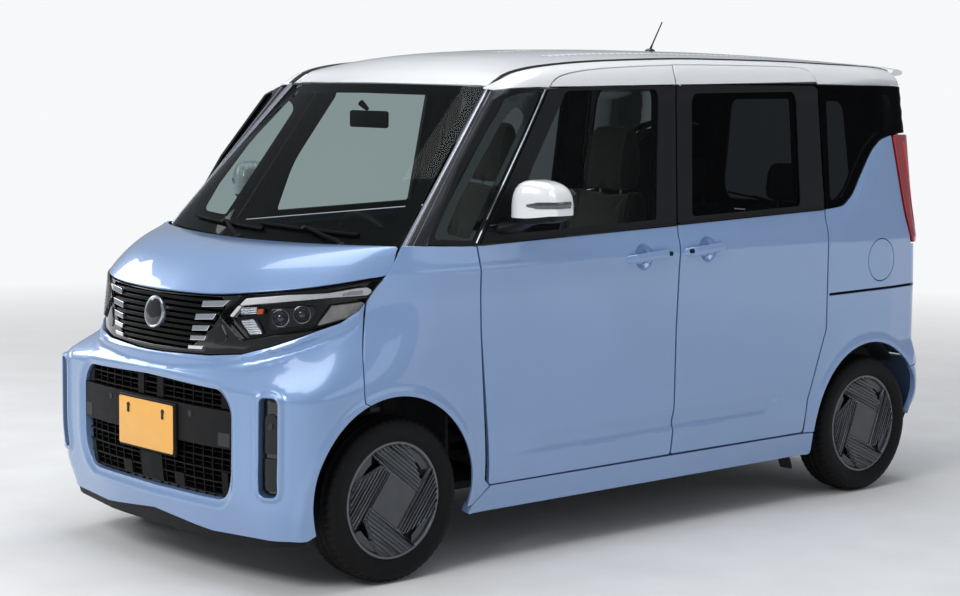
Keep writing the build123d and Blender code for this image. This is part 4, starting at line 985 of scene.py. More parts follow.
# ---------------------------------------------------------------- hood
hood_edge_z = curve([-0.001, 0.3, 0.48, 0.68, 0.832, 0.977, 1.051, 1.129],
    [0.955, 0.958, 0.968, 0.984, 1.001, 1.018, 1.026, 1.122])
# Hood: half width per radian of plan angle, length, radius and height at the cowl, angle of its side
HOOD_WIDE, HOOD_LONG, COWL_R, COWL_Z, A0 = 0.75, 0.40, 0.743, 1.112, 19.8 * DEG


def hood(p, q):
    """Hood surface: p runs across from the centre, q from the front edge to the cowl."""
    p, q = np.broadcast_arrays(np.asarray(p, float), np.asarray(q, float))
    a = pi / 2 - np.abs(p) / HOOD_WIDE
    t = np.clip(q / HOOD_LONG, -0.02, 1.02)
    s = NOSE_S - (NOSE_K * a - NOSE_Y)
    e = bare(-NOSE_S + s, hood_edge_z(s))
    re = np.hypot(e[..., 0], e[..., 1] - NOSE_Y)
    xc = np.cos(a)
    share = np.clip((pi / 2 - a) / (pi / 2 - A0), 0, 1)
    rc = 0.40 + (COWL_R - 0.40) * share ** 2.2
    zc = COWL_Z + 0.010 * share ** 2
    g = 1 - (1 - np.clip(t, 0, 1)) ** (2.7 + 0.6 * np.abs(np.cos(a)))
    g = g + np.where(t < 0, t * 3.0, 0)
    r = re + (rc - re) * t
    z = e[..., 2] + (zc - e[..., 2]) * g
    x = r * xc * np.where(p < 0, -1.0, 1.0)
    x = np.where(np.abs(p) < 1e-9, 0, x)
    ahead = (e[..., 1] - NOSE_Y) / (-re * np.sin(a) - 1e-9)
    return np.stack([x, NOSE_Y - r * np.sin(a) * ahead, z], -1)


p_end = HOOD_WIDE * (pi / 2 - A0)
hood_path = full(rounded([(0, 0.002, 0), (p_end - 0.035, 0.002, 0.02), (p_end - 0.0140, 0.10, 0.05),
            (p_end - 0.0180, 0.27, 0.05), (p_end - 0.066, 0.379, 0.04), (p_end - 0.24, 0.398, 0.1),
            (0, 0.398, 0)], False))
hd = panel("hood_skin", hood, hood_path, "blue", "hood", "body_paint", grid=0.013, flange=0.005)
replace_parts(hd, "hood")

# ---------------------------------------------------------------- windshield and front pillars
# Foot of the windshield (y, z), how far it runs back and up, and its length
GLASS_Y, GLASS_Z, GLASS_BACK, GLASS_UP, GLASS_LONG = -1.262, 1.118, 0.550, 0.533, 0.766


def screen(x, q):
    """Windshield surface: q is the distance up the glass."""
    x, q = np.broadcast_arrays(np.asarray(x, float), np.asarray(q, float))
    t = q / GLASS_LONG
    y = GLASS_Y + 0.137 * (x / 0.69) ** 2 + GLASS_BACK * t
    return np.stack([x, y - 0.010 * np.sin(np.clip(t, 0, 1) * pi), GLASS_Z + GLASS_UP * t], -1)


screen_out = full(rounded([(0, -0.012, 0), (0.672, -0.004, 0.03), (0.537, 0.766, 0.03), (0, 0.772, 0)],
        False))
screen_in = full(rounded([(0, 0.075, 0), (0.600, 0.070, 0.085), (0.503, 0.715, 0.055), (0, 0.722, 0)], False))
ws = panel("windshield_pane", screen, screen_out, "screen", slot="window_glass", grid=0.04, soft=0.001,
    flange=0.002)
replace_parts(ws, "windshield")
panel("windshield_border", screen, drawn_in(screen_out, 0.001), "frit", slot="window_glass",
    holes=[screen_in], grid=0.04, sink=0.004, soft=0.0005, flange=0.001)


def pillar_rows(edge_a, edge_b, bulge, n=28, m=14, inner=0.02):
    """Rows of points between two edge lines, crowned outward."""
    rows = []
    for t in np.linspace(0, 1, n):
        a = np.array(edge_a[0]) + (np.array(edge_a[1]) - edge_a[0]) * t
        b = np.array(edge_b[0]) + (np.array(edge_b[1]) - edge_b[0]) * t
        axis = unit(np.array(edge_a[1]) - edge_a[0])
        outward = unit(np.cross(b - a, axis))
        if outward[1] > 0:
            outward = -outward
        row = [a - outward * inner]
        for w in np.linspace(0, 1, m):
            row.append(a + (b - a) * w + outward * bulge * (1 - abs(2 * w - 1) ** 2.5))
        row.append(b - outward * inner)
        rows.append(row)
    return rows


PILLAR_CROWN = 0.010
edge_a = ((0.672, -1.135, 1.112), (0.553, -0.652, 1.638))
edge_b = (tuple(bare(-1.098, 1.118)), tuple(bare(-0.672, 1.642)))
both_sides("front_pillar", pillar_rows(edge_a, edge_b, PILLAR_CROWN), "pillar_blue", closed_v=False,
    cap=False)
for k, (w0, w1, lift) in enumerate(((0.02, 0.34, 0.0035), (0.43, 0.52, 0.0024))):
    a0, a1 = [np.array(edge_a[i]) * (1 - w0) + np.array(edge_b[i]) * w0 for i in (0, 1)]
    b0, b1 = [np.array(edge_a[i]) * (1 - w1) + np.array(edge_b[i]) * w1 for i in (0, 1)]
    base = PILLAR_CROWN * (1 - abs(w0 + w1 - 1) ** 2.5)
    rows = pillar_rows((a0, a1), (b0, b1), base + lift, m=6, inner=-base + 0.004)
    both_sides(f"front_pillar_line_{k}", rows, "chrome" if k else "pillar_silver", closed_v=False, cap=False)


# ---------------------------------------------------------------- nose
BUMPER_TOP = [(0, 0.748)] + [(p[0] + NOSE_S, p[1]) for p in BAND[1:]]
opening = full(rounded([(0, 0.668, 0), (0.440, 0.655, 0.060), (0.489, 0.60, 0.2), (0.489, 0.36, 0.2),
            (0.455, 0.285, 0.10), (0, 0.282, 0)], False))
slot_hole = to_s(rounded([(-1.735, 0.652, 0.022), (-1.670, 0.655, 0.022), (-1.671, 0.330, 0.022),
            (-1.737, 0.327, 0.022)]))
bumper_half = join(rounded([(0, 0.202, 0), (0.377, 0.172, 0.2), (0.62, 0.178, 0.1), (0.770, 0.181, 0.004)],
        False), to_s(arch(FRONT_ARCH, 197, 109.5))[1:], to_s(rounded([(-1.391, 0.612, 0), (-1.392, 0.76, 0),
                (-1.386, 0.940, 0)], False))[1:], BUMPER_TOP[::-1][1:])


def nose_formed(s, v):
    """The nose with its dished opening lip and the raised frames of the side slots."""
    s, v = np.broadcast_arrays(np.asarray(s, float), np.asarray(v, float))
    shape = s.shape
    p = nose(s, v).reshape(-1, 3)
    n = normal_of(nose, s, v).reshape(-1, 3)
    flat = np.stack([np.abs(s).ravel(), v.ravel()], 1)
    d = near(flat, opening)
    low = smooth((0.42 - flat[:, 1]) / 0.12)
    off = -0.011 * (1 - smooth(d / (0.020 + 0.014 * low))) + 0.0018 * np.exp(-(((d - 0.030) / 0.012) ** 2))
    near_slot = (flat[:, 0] > 0.5) & (flat[:, 0] < 0.8) & (flat[:, 1] < 0.72)
    if near_slot.any():
        e = near(flat[near_slot], slot_hole)
        off[near_slot] += 0.006 * np.exp(-(((e - 0.008) / 0.006) ** 2)) - 0.003 * np.exp(
            -(((e - 0.024) / 0.007) ** 2))
    return (p + n * off[:, None]).reshape(*shape, 3)


bp = panel("front_bumper_skin", nose_formed, full(bumper_half), "blue", slot="body_paint",
    holes=[opening, slot_hole, flipped(slot_hole)], grid=0.013, flange=0.014, hole_flange=0.026,
    fine=((0.006, ring(opening), 0.036), (0.006, ring(slot_hole), 0.030),
        (0.006, flipped(ring(slot_hole)), 0.030)))
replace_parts(bp, "front_bumper")
lip_path = full(rounded([(0, 0.142, 0), (0.377, 0.142, 0.2), (0.62, 0.150, 0.1), (0.765, 0.160, 0.01),
            (0.765, 0.188, 0.01), (0.62, 0.184, 0), (0.377, 0.178, 0), (0, 0.208, 0)], False))
panel("front_lip", nose, lip_path, "plastic", slot="black_trim", sink=0.006, grid=0.02, flange=0.02)


# ---------------------------------------------------------------- tyres and wheels
TYRE_R, RIM_R, WHEEL_X = 0.2785, 0.1965, 0.650
AXLE_Z = TYRE_R
AXLES = {"front": -1.1875, "rear": 1.3075}
# Left half of the tyre's section, bead to shoulder: place along the axle, radius
SECTION = [(-0.0590, 0.1900), (-0.0630, 0.1978), (-0.0690, 0.2060), (-0.0725, 0.2130), (-0.0752, 0.2220),
    (-0.0772, 0.2330), (-0.0772, 0.2425), (-0.0752, 0.2520), (-0.0715, 0.2610), (-0.0655, 0.2690),
    (-0.0580, 0.2738)]

# Ribs round the sidewall: height, radius, width
SIDE_RIBS = [(0.0010, 0.2085, 0.0016), (0.0011, 0.2445, 0.0014), (0.0008, 0.2350, 0.0012),
    (0.0010, 0.2160, 0.0012), (0.0010, 0.2235, 0.0012)]


def tyre_mesh():
    """One tyre centred on the origin, its axle along X, with grooves, shoulder blocks and sidewall ribs."""
    around = 240
    tread = np.linspace(-0.054, 0.054, 37)
    xs = np.array([p[0] for p in SECTION] + list(tread) + [-p[0] for p in SECTION[::-1]])
    rs = np.array([p[1] for p in SECTION] + [TYRE_R - 0.0042 * (abs(x) / 0.054) ** 2.4 for x in tread]
        + [p[1] for p in SECTION[::-1]])
    s = np.concatenate([[0], np.cumsum(np.hypot(np.diff(xs), np.diff(rs)))])
    fine = np.interp(np.linspace(0, s[-1], 86), s, np.arange(len(s)))
    xs, rs = np.interp(fine, np.arange(len(xs)), xs), np.interp(fine, np.arange(len(rs)), rs)
    tx, tr = np.gradient(xs), np.gradient(rs)
    ln = np.hypot(tx, tr)
    nx, nr = -tr / ln, tx / ln
    rows = []
    for k in range(around):
        w = 2 * pi * k / around
        off = np.zeros(len(xs))
        for g in (-0.031, 0.0, 0.031):
            off -= 0.0065 * np.exp(-(((xs - g) / 0.0042) ** 6))
        shoulder = smooth((np.abs(xs) - 0.038) / 0.003) * smooth((0.0705 - np.abs(xs)) / 0.004) * (rs > 0.25)
        off -= shoulder * (0.0042 if k % 4 == 0 else 0.0)
        centre = smooth((0.034 - np.abs(xs)) / 0.003)
        slant = (k + np.round(xs / 0.0035)) % 6 == 0
        off -= 0.0022 * centre * slant
        side = rs < 0.252
        off += side * sum(rise * np.exp(-(((rs - at_r) / wide) ** 2)) for rise, at_r, wide in SIDE_RIBS)
        r = rs + nr * off
        x = xs + nx * off
        rows.append(np.stack([x, r * np.cos(w), r * np.sin(w)], 1))
    return np.array(rows)


def clip(poly, point, normal):
    """A convex polygon cut by a half plane; keeps the side that the normal points to."""
    out = []
    for i in range(len(poly)):
        a, b = poly[i], poly[(i + 1) % len(poly)]
        da, db = (a - point) @ normal, (b - point) @ normal
        if da >= 0:
            out.append(a)
        if da * db < 0:
            out.append(a + (b - a) * da / (da - db))
    return np.array(out)


def at(angle, r=1.0):
    """A point in the wheel's plane at an angle in degrees."""
    return np.array((r * cos(angle * DEG), r * sin(angle * DEG)))


def slab(bm, poly, low, high, draft=0.0, mat=0):
    """A flat-topped block in the wheel's own plane; (u, v) maps to (Y, Z) and heights to X."""
    if len(poly) < 3:
        return
    if area(poly) < 0:
        poly = poly[::-1]
    top = drawn_in(poly, draft) if draft else poly
    lo = [bm.verts.new((low, p[0], p[1])) for p in poly]
    hi = [bm.verts.new((high, p[0], p[1])) for p in top]
    faces = [bm.faces.new(hi)]
    n = len(poly)
    for i in range(n):
        j = (i + 1) % n
        faces.append(bm.faces.new((lo[i], lo[j], hi[j], hi[i])))
    for f in faces:
        f.material_index = mat


def cover_mesh():
    """Four-bladed cover of a left wheel, seen from +X with +Y to the right; X starts at the centre."""
    bm = bmesh.new()
    R = RIM_R * 1.004
    turn = 8.0
    for k in range(4):
        a = turn + 90 - 90 * k
        c0, c1 = at(a - 90, 0.50), at(a, 0.50)
        tip, end = a + 20.0, a - 27.0
        rim = [at(w, 0.950) for w in np.linspace(tip, end, 16)]
        blade = np.array([c0, c1, *rim, at(a - 41, 0.80), at(a - 76, 0.655)]) * R
        if area(blade) < 0:
            blade = blade[::-1]
        # The sloped skirt round each blade uses the lighter metal as a painted highlight along the blade edge
        slab(bm, drawn_in(blade, -0.0022), 0.050, 0.0612, 0.0022, 2)
        slab(bm, blade, 0.050, 0.0625, 0.0010, 0)
        along = unit((c1 - c0)[None])[0]
        across = np.array((along[1], -along[0]))
        if across @ (c0 + c1) < 0:
            across = -across
        base = c0 * R
        for j in range(11):
            d0 = 0.0040 + j * 0.0124
            bar = clip(blade, base + across * d0, across)
            if len(bar) >= 3:
                bar = clip(bar, base + across * (d0 + 0.0066), -across)
            if len(bar) >= 3:
                bar = drawn_in(bar if area(bar) > 0 else bar[::-1], 0.0010)
                slab(bm, bar, 0.0620, 0.0695, 0.0014, 1)
        # Flat panel between the blades, near the rim
        nxt = a - 70
        arc_out = [at(w, 0.955) for w in np.linspace(end + 1, nxt - 1, 14)]
        arc_in = [at(w, 0.79) for w in np.linspace(nxt + 6, end - 13, 10)]
        slab(bm, np.array(arc_out + arc_in) * R, 0.044, 0.0535, 0.0008, 0)
    square = np.array([at(turn + 90 * k, 0.497) for k in range(4)]) * R
    slab(bm, square, 0.050, 0.0648, 0.0012, 0)
    n = 96
    prof = [(0.040, 0.940), (0.0605, 0.945), (0.0640, 0.956), (0.0652, 0.975), (0.0645, 0.995),
        (0.0610, 1.012), (0.040, 1.012)]
    rings = [[bm.verts.new((x, R * r * cos(2 * pi * i / n), R * r * sin(2 * pi * i / n))) for i in range(n)]
        for x, r in prof]
    for ra, rb in zip(rings, rings[1:]):
        for i in range(n):
            bm.faces.new((ra[i], ra[(i + 1) % n], rb[(i + 1) % n], rb[i])).material_index = 1
    bmesh.ops.remove_doubles(bm, verts=bm.verts, dist=1e-6)
    sharp = [e for e in bm.edges if e.is_manifold and e.calc_face_angle(0) > radians(35)]
    bmesh.ops.bevel(bm, geom=sharp, offset=0.0006, segments=1, affect="EDGES", clamp_overlap=True)
    bmesh.ops.recalc_face_normals(bm, faces=bm.faces)
    me = bpy.data.meshes.new("cover")
    bm.to_mesh(me)
    bm.free()
    for m in ("cover_dark", "cover_ridge", "cover_bright"):
        me.materials.append(M[m])
    me.polygons.foreach_set("use_smooth", [True] * len(me.polygons))
    me.set_sharp_from_angle(angle=radians(30))
    return me


# Half section of the rim and hub: place along the axle, radius
RIM_SECTION = [(-0.066, 0.186), (-0.068, 0.193), (-0.060, 0.194), (-0.056, 0.178), (-0.030, 0.168),
    (0.000, 0.158), (0.026, 0.160), (0.044, 0.180), (0.052, 0.183), (0.0575, 0.192), (0.0590, 0.1945),
    (0.0575, 0.188), (0.052, 0.179), (0.046, 0.172), (0.030, 0.150), (0.018, 0.140), (0.012, 0.120),
    (0.018, 0.085), (0.030, 0.062), (0.032, 0.032), (0.010, 0.030), (0.010, 0.001)]
tyre_rows = tyre_mesh()
cover = cover_mesh()
for end, y in AXLES.items():
    for side_name, s in (("left", 1), ("right", -1)):
        body = f"wheel_{end}_{side_name}"
        centre = (s * WHEEL_X, y, AXLE_Z)
        rows = tyre_rows.copy()
        rows[..., 0] *= s
        ty = loft(f"tyre_{end}_{side_name}_treaded", rows + np.array(centre), "tyre", body, "tyre",
            closed_u=True, auto=34)
        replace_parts(ty, f"tyre_{end}_{side_name}")
        rim = lathe(f"rim_{end}_{side_name}", RIM_SECTION, "steel", centre, body=body, slot="wheel_finish",
            sides=72, flip=s)
        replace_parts(rim, f"wheel_{end}_{side_name}")
        me = cover.copy()
        m = Matrix.Translation(centre) @ Matrix.Rotation(radians(0 if end == "front" else 14), 4, "X")
        if s < 0:
            me.transform(Matrix.Scale(-1, 4, (1, 0, 0)))
            me.flip_normals()
        me.transform(m)
        c = bpy.data.objects.new(f"wheel_cover_{end}_{side_name}", me)
        LINKS.link(c)
        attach(c, body)
        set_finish(c, "wheel_finish")
        # Wheel nuts behind the cover, and the valve
        for k in range(4):
            w = pi / 2 * k + 0.5
            lathe(f"nut_{end}_{side_name}_{k}", [(0.010, 0.001), (0.030, 0.0095), (0.036, 0.0090),
                    (0.038, 0.006), (0.038, 0.0005)], "cast", (centre[0], y + 0.050 * cos(w),
                    AXLE_Z + 0.050 * sin(w)), body=body, slot="wheel_finish", sides=6, flip=s)
        w = -2.2
        tube(f"valve_{end}_{side_name}", [(centre[0] + s * 0.030, y + 0.158 * cos(w),
                    AXLE_Z + 0.158 * sin(w)), (centre[0] + s * 0.060, y + 0.150 * cos(w),
                    AXLE_Z + 0.150 * sin(w))], 0.004, "rubber", body, "tyre")


# ---------------------------------------------------------------- lamps, grille and plate
def plaque(name, rows, mat, sink=0.0, depth=0.01, slot="black_trim", both=True, soft=0.0012, grid=0.02):
    """A small moulded part that follows the nose; rows are (s, z, radius)."""
    path = rounded(rows, step=0.006)
    make = pair if both else panel
    return make(name, nose, path, mat, slot=slot, sink=sink, flange=depth, soft=soft, grid=grid)


def spot(surf, u, v, sink=0.0):
    """A point below a surface, with the surface normal there."""
    p = surf(np.array([u]), np.array([v]))[0]
    n = normal_of(surf, np.array([u]), np.array([v]))[0]
    return p - n * sink, n


def turned(name, profile, mat, centre, normal, body="chassis", slot="black_trim", sides=40, squash=1.0):
    """A profile of (height, radius) turned round a normal; squash narrows it across."""
    n = unit(np.array(normal, float))
    side = unit(np.cross((0, 0, 1.0), n)) if abs(n[2]) < 0.95 else np.array((1.0, 0, 0))
    up = np.cross(n, side)
    rows = [[np.array(centre) + n * h + r * (cos(2 * pi * k / sides) * side * squash
                + sin(2 * pi * k / sides) * up) for k in range(sides)] for h, r in profile]
    return loft(name, rows, mat, body, slot, closed_v=True)


def mirror_spot(p, n):
    """The same place and direction on the other side of the car."""
    return p * np.array((-1, 1, 1)), n * np.array((-1, 1, 1))


def both_spots(p, n):
    """A spot on the left and its mirror image on the right."""
    return ("left", p, n), ("right", *mirror_spot(p, n))


LAMP = [(0.391, 0.889, 0.012), (0.487, 0.961, 0.02), (0.659, 0.976, 0.3), (0.797, 0.985, 0.3),
    (0.922, 1.000, 0.3), (1.046, 1.016, 0.004), (1.018, 0.979, 0.1), (0.973, 0.937, 0.1),
    (0.929, 0.900, 0.06), (0.765, 0.858, 0.2), (0.629, 0.840, 0.2), (0.497, 0.819, 0.02)]
lamp_path = rounded(LAMP)
garnish_path = full(join([(0, 0.752)], [(s, z + 0.004) for s, z in BUMPER_TOP[1:] if s < 0.80],
        [(0.770, 0.8555), (0.629, 0.8365)], [(0.510, 0.818), (0.494, 0.8165), (0.484, 0.822),
            (0.389, 0.886), (0.388, 0.893), (0.479, 0.958)], [(s, float(hood_edge_z(s)) - 0.006)
            for s in np.linspace(0.478, 0, 26)]))
grille_hole = full(rounded([(0, 0.766, 0), (0.240, 0.770, 0.012), (0.350, 0.845, 0.1), (0.415, 0.925, 0.02),
            (0.390, 0.951, 0.012), (0, 0.943, 0)], False))
gp = panel("nose_garnish", nose, garnish_path, "gloss_black", slot="black_trim", sink=0.010, grid=0.02,
    flange=0.02, holes=[grille_hole], hole_flange=0.02)
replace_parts(gp, "grilles")
panel("grille_backing", nose, drawn_in(grille_hole, -0.004), "seam", slot="black_trim", sink=0.038,
    grid=0.03, flange=0.002)
for k in range(9):
    z = 0.7765 + 0.0192 * k
    reach = float(np.interp(z, [0.770, 0.845, 0.925, 0.951], [0.235, 0.345, 0.408, 0.385]))
    plaque(f"grille_slat_{k}", [(-reach, z, 0), (reach, z, 0), (reach, z + 0.0105, 0),
            (-reach, z + 0.0105, 0)], "slat_black", 0.013, 0.012, both=False, grid=0.03)
BARS = [((0.295, 0.934), (0.432, 0.944), (0.402, 0.921), (0.291, 0.913)),
    ((0.265, 0.889), (0.374, 0.897), (0.357, 0.876), (0.262, 0.869)),
    ((0.254, 0.850), (0.347, 0.856), (0.332, 0.837), (0.252, 0.832)),
    ((0.249, 0.816), (0.334, 0.821), (0.323, 0.804), (0.245, 0.800)),
    ((0.239, 0.783), (0.322, 0.787), (0.312, 0.773), (0.237, 0.770))]
for k, b in enumerate(BARS):
    plaque(f"grille_bar_{k}", [(s, z, 0.002) for s, z in b[::-1]], "chrome", 0.003, 0.010, soft=0.0022)
plaque("garnish_facet", [(0.345, 0.793, 0.02), (0.410, 0.792, 0.02), (0.440, 0.818, 0.02),
        (0.392, 0.876, 0.015)], "gloss_black", 0.006, 0.006, soft=0.003)
p, n = spot(nose, 0.0, 0.877, 0.014)
n = unit(np.array((0, n[1], n[2])))
turned("front_emblem_blank", [(-0.012, 0.056), (0.010, 0.056), (0.0135, 0.054), (0.0145, 0.050),
        (0.0125, 0.0465), (0.0125, 0.02), (0.0125, 0.0004)], "satin_chrome", p, n, sides=64)
turned("front_emblem_face", [(0.0, 0.046), (0.0135, 0.046), (0.0155, 0.040), (0.0170, 0.02),
        (0.0172, 0.0004)], "gloss_black", p, n, sides=64)

# Headlamps
hl = pair("headlamp_lens", nose, lamp_path, "lens", slot="lamp_lens", sink=0.0005, flange=0.006, soft=0.002,
    grid=0.02)
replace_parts(hl[0], "headlamps")
pair("headlamp_bowl", nose, drawn_in(lamp_path, 0.003), "lamp_dark", slot="lamp_lens", sink=0.046,
    flange=0.001, soft=0.001, grid=0.02)
pair("headlamp_rim", nose, drawn_in(lamp_path, 0.0015), "lamp_dark", slot="lamp_lens",
    holes=[drawn_in(lamp_path, 0.006)], sink=0.006, flange=0.030, hole_flange=0.038, soft=0.001, grid=0.02)
# Parts under the lens: name, outline (s, z, radius), finish, depth below the nose, thickness, edge radius
LAMP_PARTS = [
    ("light_guide",
     [(0.466, 0.926, 0.004), (0.541, 0.9345, 0.2), (0.662, 0.9455, 0.2), (0.816, 0.9575, 0.2),
      (0.982, 0.964, 0.006), (1.002, 0.979, 0.01), (0.975, 0.9905, 0.02), (0.923, 0.987, 0.2),
      (0.815, 0.9735, 0.3), (0.660, 0.968, 0.2), (0.536, 0.957, 0.1), (0.497, 0.953, 0.02)],
     "lamp_white", 0.009, 0.022, 0.003),
    ("guide_end",
     [(0.848, 0.964, 0.003), (0.955, 0.969, 0.004), (0.962, 0.981, 0.004), (0.905, 0.978, 0.003)],
     "cover_bright", 0.0065, 0.01, 0.002),
    ("guide_inner",
     [(0.428, 0.891, 0.004), (0.446, 0.889, 0.004), (0.480, 0.924, 0.01), (0.466, 0.930, 0.01)],
     "lamp_white", 0.012, 0.02, 0.002),
    ("divider",
     [(0.560, 0.9285, 0), (0.816, 0.947, 0.1), (0.985, 0.9545, 0.004), (0.983, 0.9625, 0.004),
      (0.816, 0.9555, 0.2), (0.560, 0.9355, 0)],
     "lamp_dark", 0.012, 0.02, 0.0012),
    ("reflector_upper",
     [(0.476, 0.899, 0.003), (0.542, 0.9025, 0.003), (0.543, 0.926, 0.003), (0.475, 0.921, 0.003)],
     "ribbed_clear", 0.016, 0.02, 0.0012),
    ("marker",
     [(0.545, 0.902, 0.003), (0.570, 0.904, 0.003), (0.571, 0.922, 0.003), (0.546, 0.919, 0.003)],
     "amber", 0.014, 0.015, 0.0012),
    ("reflector_lower",
     [(0.480, 0.880, 0.003), (0.528, 0.834, 0.003), (0.577, 0.840, 0.003), (0.535, 0.886, 0.003)],
     "ribbed_clear", 0.013, 0.02, 0.0012),
    ("turn",
     [(0.781, 0.866, 0.004), (0.917, 0.895, 0.01), (0.970, 0.9435, 0.004), (0.836, 0.933, 0.004)],
     "turn_lens", 0.010, 0.02, 0.002),
    ("unit_shroud",
     [(0.590, 0.850, 0.02), (0.745, 0.868, 0.02), (0.800, 0.936, 0.02), (0.590, 0.922, 0.02)],
     "gloss_black", 0.026, 0.015, 0.004),
]
for part, rows, mat, sink, depth, soft in LAMP_PARTS:
    slot = "tail_lamp_lens" if part == "marker" else "lamp_lens"
    plaque("headlamp_" + part, rows, mat, sink, depth, slot, soft=soft)
for k, (s, z) in enumerate(((0.640, 0.892), (0.722, 0.904))):
    p, n = spot(nose, s, z, 0.026)
    for side, pp, nn in both_spots(p, n):
        turned(f"headlamp_projector_{side}_{k}", [(-0.006, 0.029), (0.006, 0.029), (0.007, 0.027),
                (0.004, 0.0245)], "satin_chrome", pp, nn, slot="lamp_lens")
        turned(f"headlamp_ball_{side}_{k}", [(0.025 * cos(a) - 0.009, 0.0255 * sin(a) + 0.0002)
                for a in np.linspace(1.35, 0, 12)], "ball_lens", pp, nn, slot="lamp_lens")

# Lower grille
inner = drawn_in(opening, -0.002)
panel("lower_grille_backing", nose, inner, "seam", slot="black_trim", sink=0.060, grid=0.04, flange=0.002)


def bar(name, s0, z0, s1, z1, sink, depth, mat="grid_black", both=True):
    """A straight bar of the lower grille between two corners."""
    plaque(name, [(s0, z0, 0), (s1, z0, 0), (s1, z1, 0), (s0, z1, 0)], mat, sink, depth, both=both,
        grid=0.03, soft=0.001)


for k, z in enumerate((0.298, 0.319, 0.340, 0.361, 0.382, 0.403, 0.424, 0.445, 0.600, 0.618, 0.636, 0.654)):
    w = 0.475 if z > 0.33 else 0.452
    half, sink = (0.0016, 0.030) if k % 2 else (0.0028, 0.024)
    bar(f"lower_grille_row_{k}", -w, z - half, w, z + half, sink, 0.020, both=False)
for k, s in enumerate((0.044, 0.091, 0.154, 0.217, 0.275, 0.332, 0.382, 0.432)):
    bar(f"lower_grille_post_{k}", s - 0.0026, 0.286, s + 0.0026, 0.464, 0.027, 0.022)
    bar(f"upper_grille_post_{k}", s - 0.0026, 0.588, s + 0.0026, 0.662, 0.027, 0.022)
for k, (s0, z0, s1, z1) in enumerate(((0.047, 0.592, 0.091, 0.662), (0.432, 0.592, 0.476, 0.652),
        (0.000, 0.300, 0.076, 0.395), (0.154, 0.298, 0.217, 0.345), (0.432, 0.292, 0.462, 0.380))):
    bar(f"lower_grille_tile_{k}", s0, z0, s1, z1, 0.022, 0.02)
carrier = full(rounded([(0, 0.462, 0), (0.486, 0.462, 0.004), (0.486, 0.588, 0.004), (0, 0.588, 0)], False))
panel("lower_grille_carrier", nose, carrier, "plastic", slot="black_trim", sink=0.012, grid=0.03, flange=0.02)
bar("tow_eye_cover", 0.428, 0.470, 0.482, 0.514, 0.0105, 0.01, "plastic_grey")
for k, s in enumerate((-0.276, 0.276)):
    p, n = spot(nose, abs(s), 0.560, 0.012)
    if s < 0:
        p, n = mirror_spot(p, n)
    turned(f"carrier_clip_{k}", [(-0.004, 0.0105), (0.0012, 0.0105), (0.0024, 0.009), (0.0008, 0.0072),
            (0.0008, 0.0003)], "plastic_grey", p, n)

# Slot inserts with a round sensor
slot_in = drawn_in(slot_hole, -0.001)
pair("slot_floor", nose, slot_in, "gloss_black", slot="black_trim", sink=0.022, grid=0.02, flange=0.001)
plaque("slot_upper_cover", [(0.618, 0.470, 0.006), (0.674, 0.470, 0.006), (0.675, 0.600, 0.03),
        (0.622, 0.600, 0.03)], "lamp_dark", 0.016, 0.008)
plaque("slot_lower_lamp", [(0.617, 0.345, 0.006), (0.673, 0.345, 0.006), (0.673, 0.455, 0.006),
        (0.617, 0.455, 0.006)], "lamp_dark", 0.017, 0.008)
p, n = spot(nose, 0.648, 0.560, 0.016)
for side, pp, nn in both_spots(p, n):
    turned(f"slot_sensor_{side}", [(-0.002, 0.011), (0.003, 0.011), (0.004, 0.0095), (0.0025, 0.008),
            (0.003, 0.0003)], "plastic_grey", pp, nn)

# Front plate, blank, on a black carrier with two hooks
PLATE_Z = 0.493
box_piece("front_plate_carrier", (-0.174, -1.6907, PLATE_Z - 0.091), (0.174, -1.676, PLATE_Z + 0.091),
    "plastic", slot="black_trim", bevel=0.006)


def plate_mesh(name, y0, y1, zc, body):
    """A blank plate of 330 mm by 165 mm between two depths."""
    path = rounded([(-0.165, -0.0825, 0.008), (0.165, -0.0825, 0.008), (0.165, 0.0825, 0.008),
            (-0.165, 0.0825, 0.008)])
    return prism(name, path, y0, y1, lambda a, b, w: (a, w, zc + b), "plate", body, "plate_sheet",
        bevel=0.0008)


PLATE_BOLT = [(0.0, 0.0085), (0.0025, 0.0085), (0.004, 0.006), (0.0042, 0.0003)]
fp = plate_mesh("front_plate_blank", -1.6945, -1.6917, PLATE_Z, "chassis")
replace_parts(fp, "front_plate")
for k, x in enumerate((-0.105, 0.105)):
    box_piece(f"front_plate_hook_{k}", (x - 0.005, -1.6990, PLATE_Z + 0.030),
        (x + 0.005, -1.6935, PLATE_Z + 0.058), "steel", slot="black_trim", bevel=0.002)
    turned(f"front_plate_bolt_{k}", PLATE_BOLT, "steel", (x, -1.6945, PLATE_Z + 0.0555), (0, -1, 0),
        sides=24)


# ---------------------------------------------------------------- door handles and mirrors
def lifted(surf, u, v, out):
    """Points of a surface moved out along its normal."""
    u, v = np.atleast_1d(np.asarray(u, float)), np.atleast_1d(np.asarray(v, float))
    return surf(u, v) + normal_of(surf, u, v) * np.asarray(out, float)[..., None]


def handle(name, ends, bodies):
    """A pull handle that arches off the door between two ends, both sides."""
    (u0, v0), (u1, v1) = ends
    thick = 0.0075
    rows = []
    for t in np.linspace(0, 1, 33):
        e = min(t, 1 - t)
        u, v = u0 + (u1 - u0) * t, v0 + (v1 - v0) * t
        out = 0.024 * float(smooth(e / 0.16)) - 0.004
        half = 0.0145 - 0.0060 * (1 - float(smooth(e / 0.07)))
        rows.append([lifted(bare, u, v + half * blunt(cos(a), 0.7),
                    np.array([out + thick * blunt(sin(a), 0.8)]))[0] for a in [2 * pi * k / 16
                    for k in range(16)]])
    both_sides(name, rows, "blue", bodies, "body_paint")


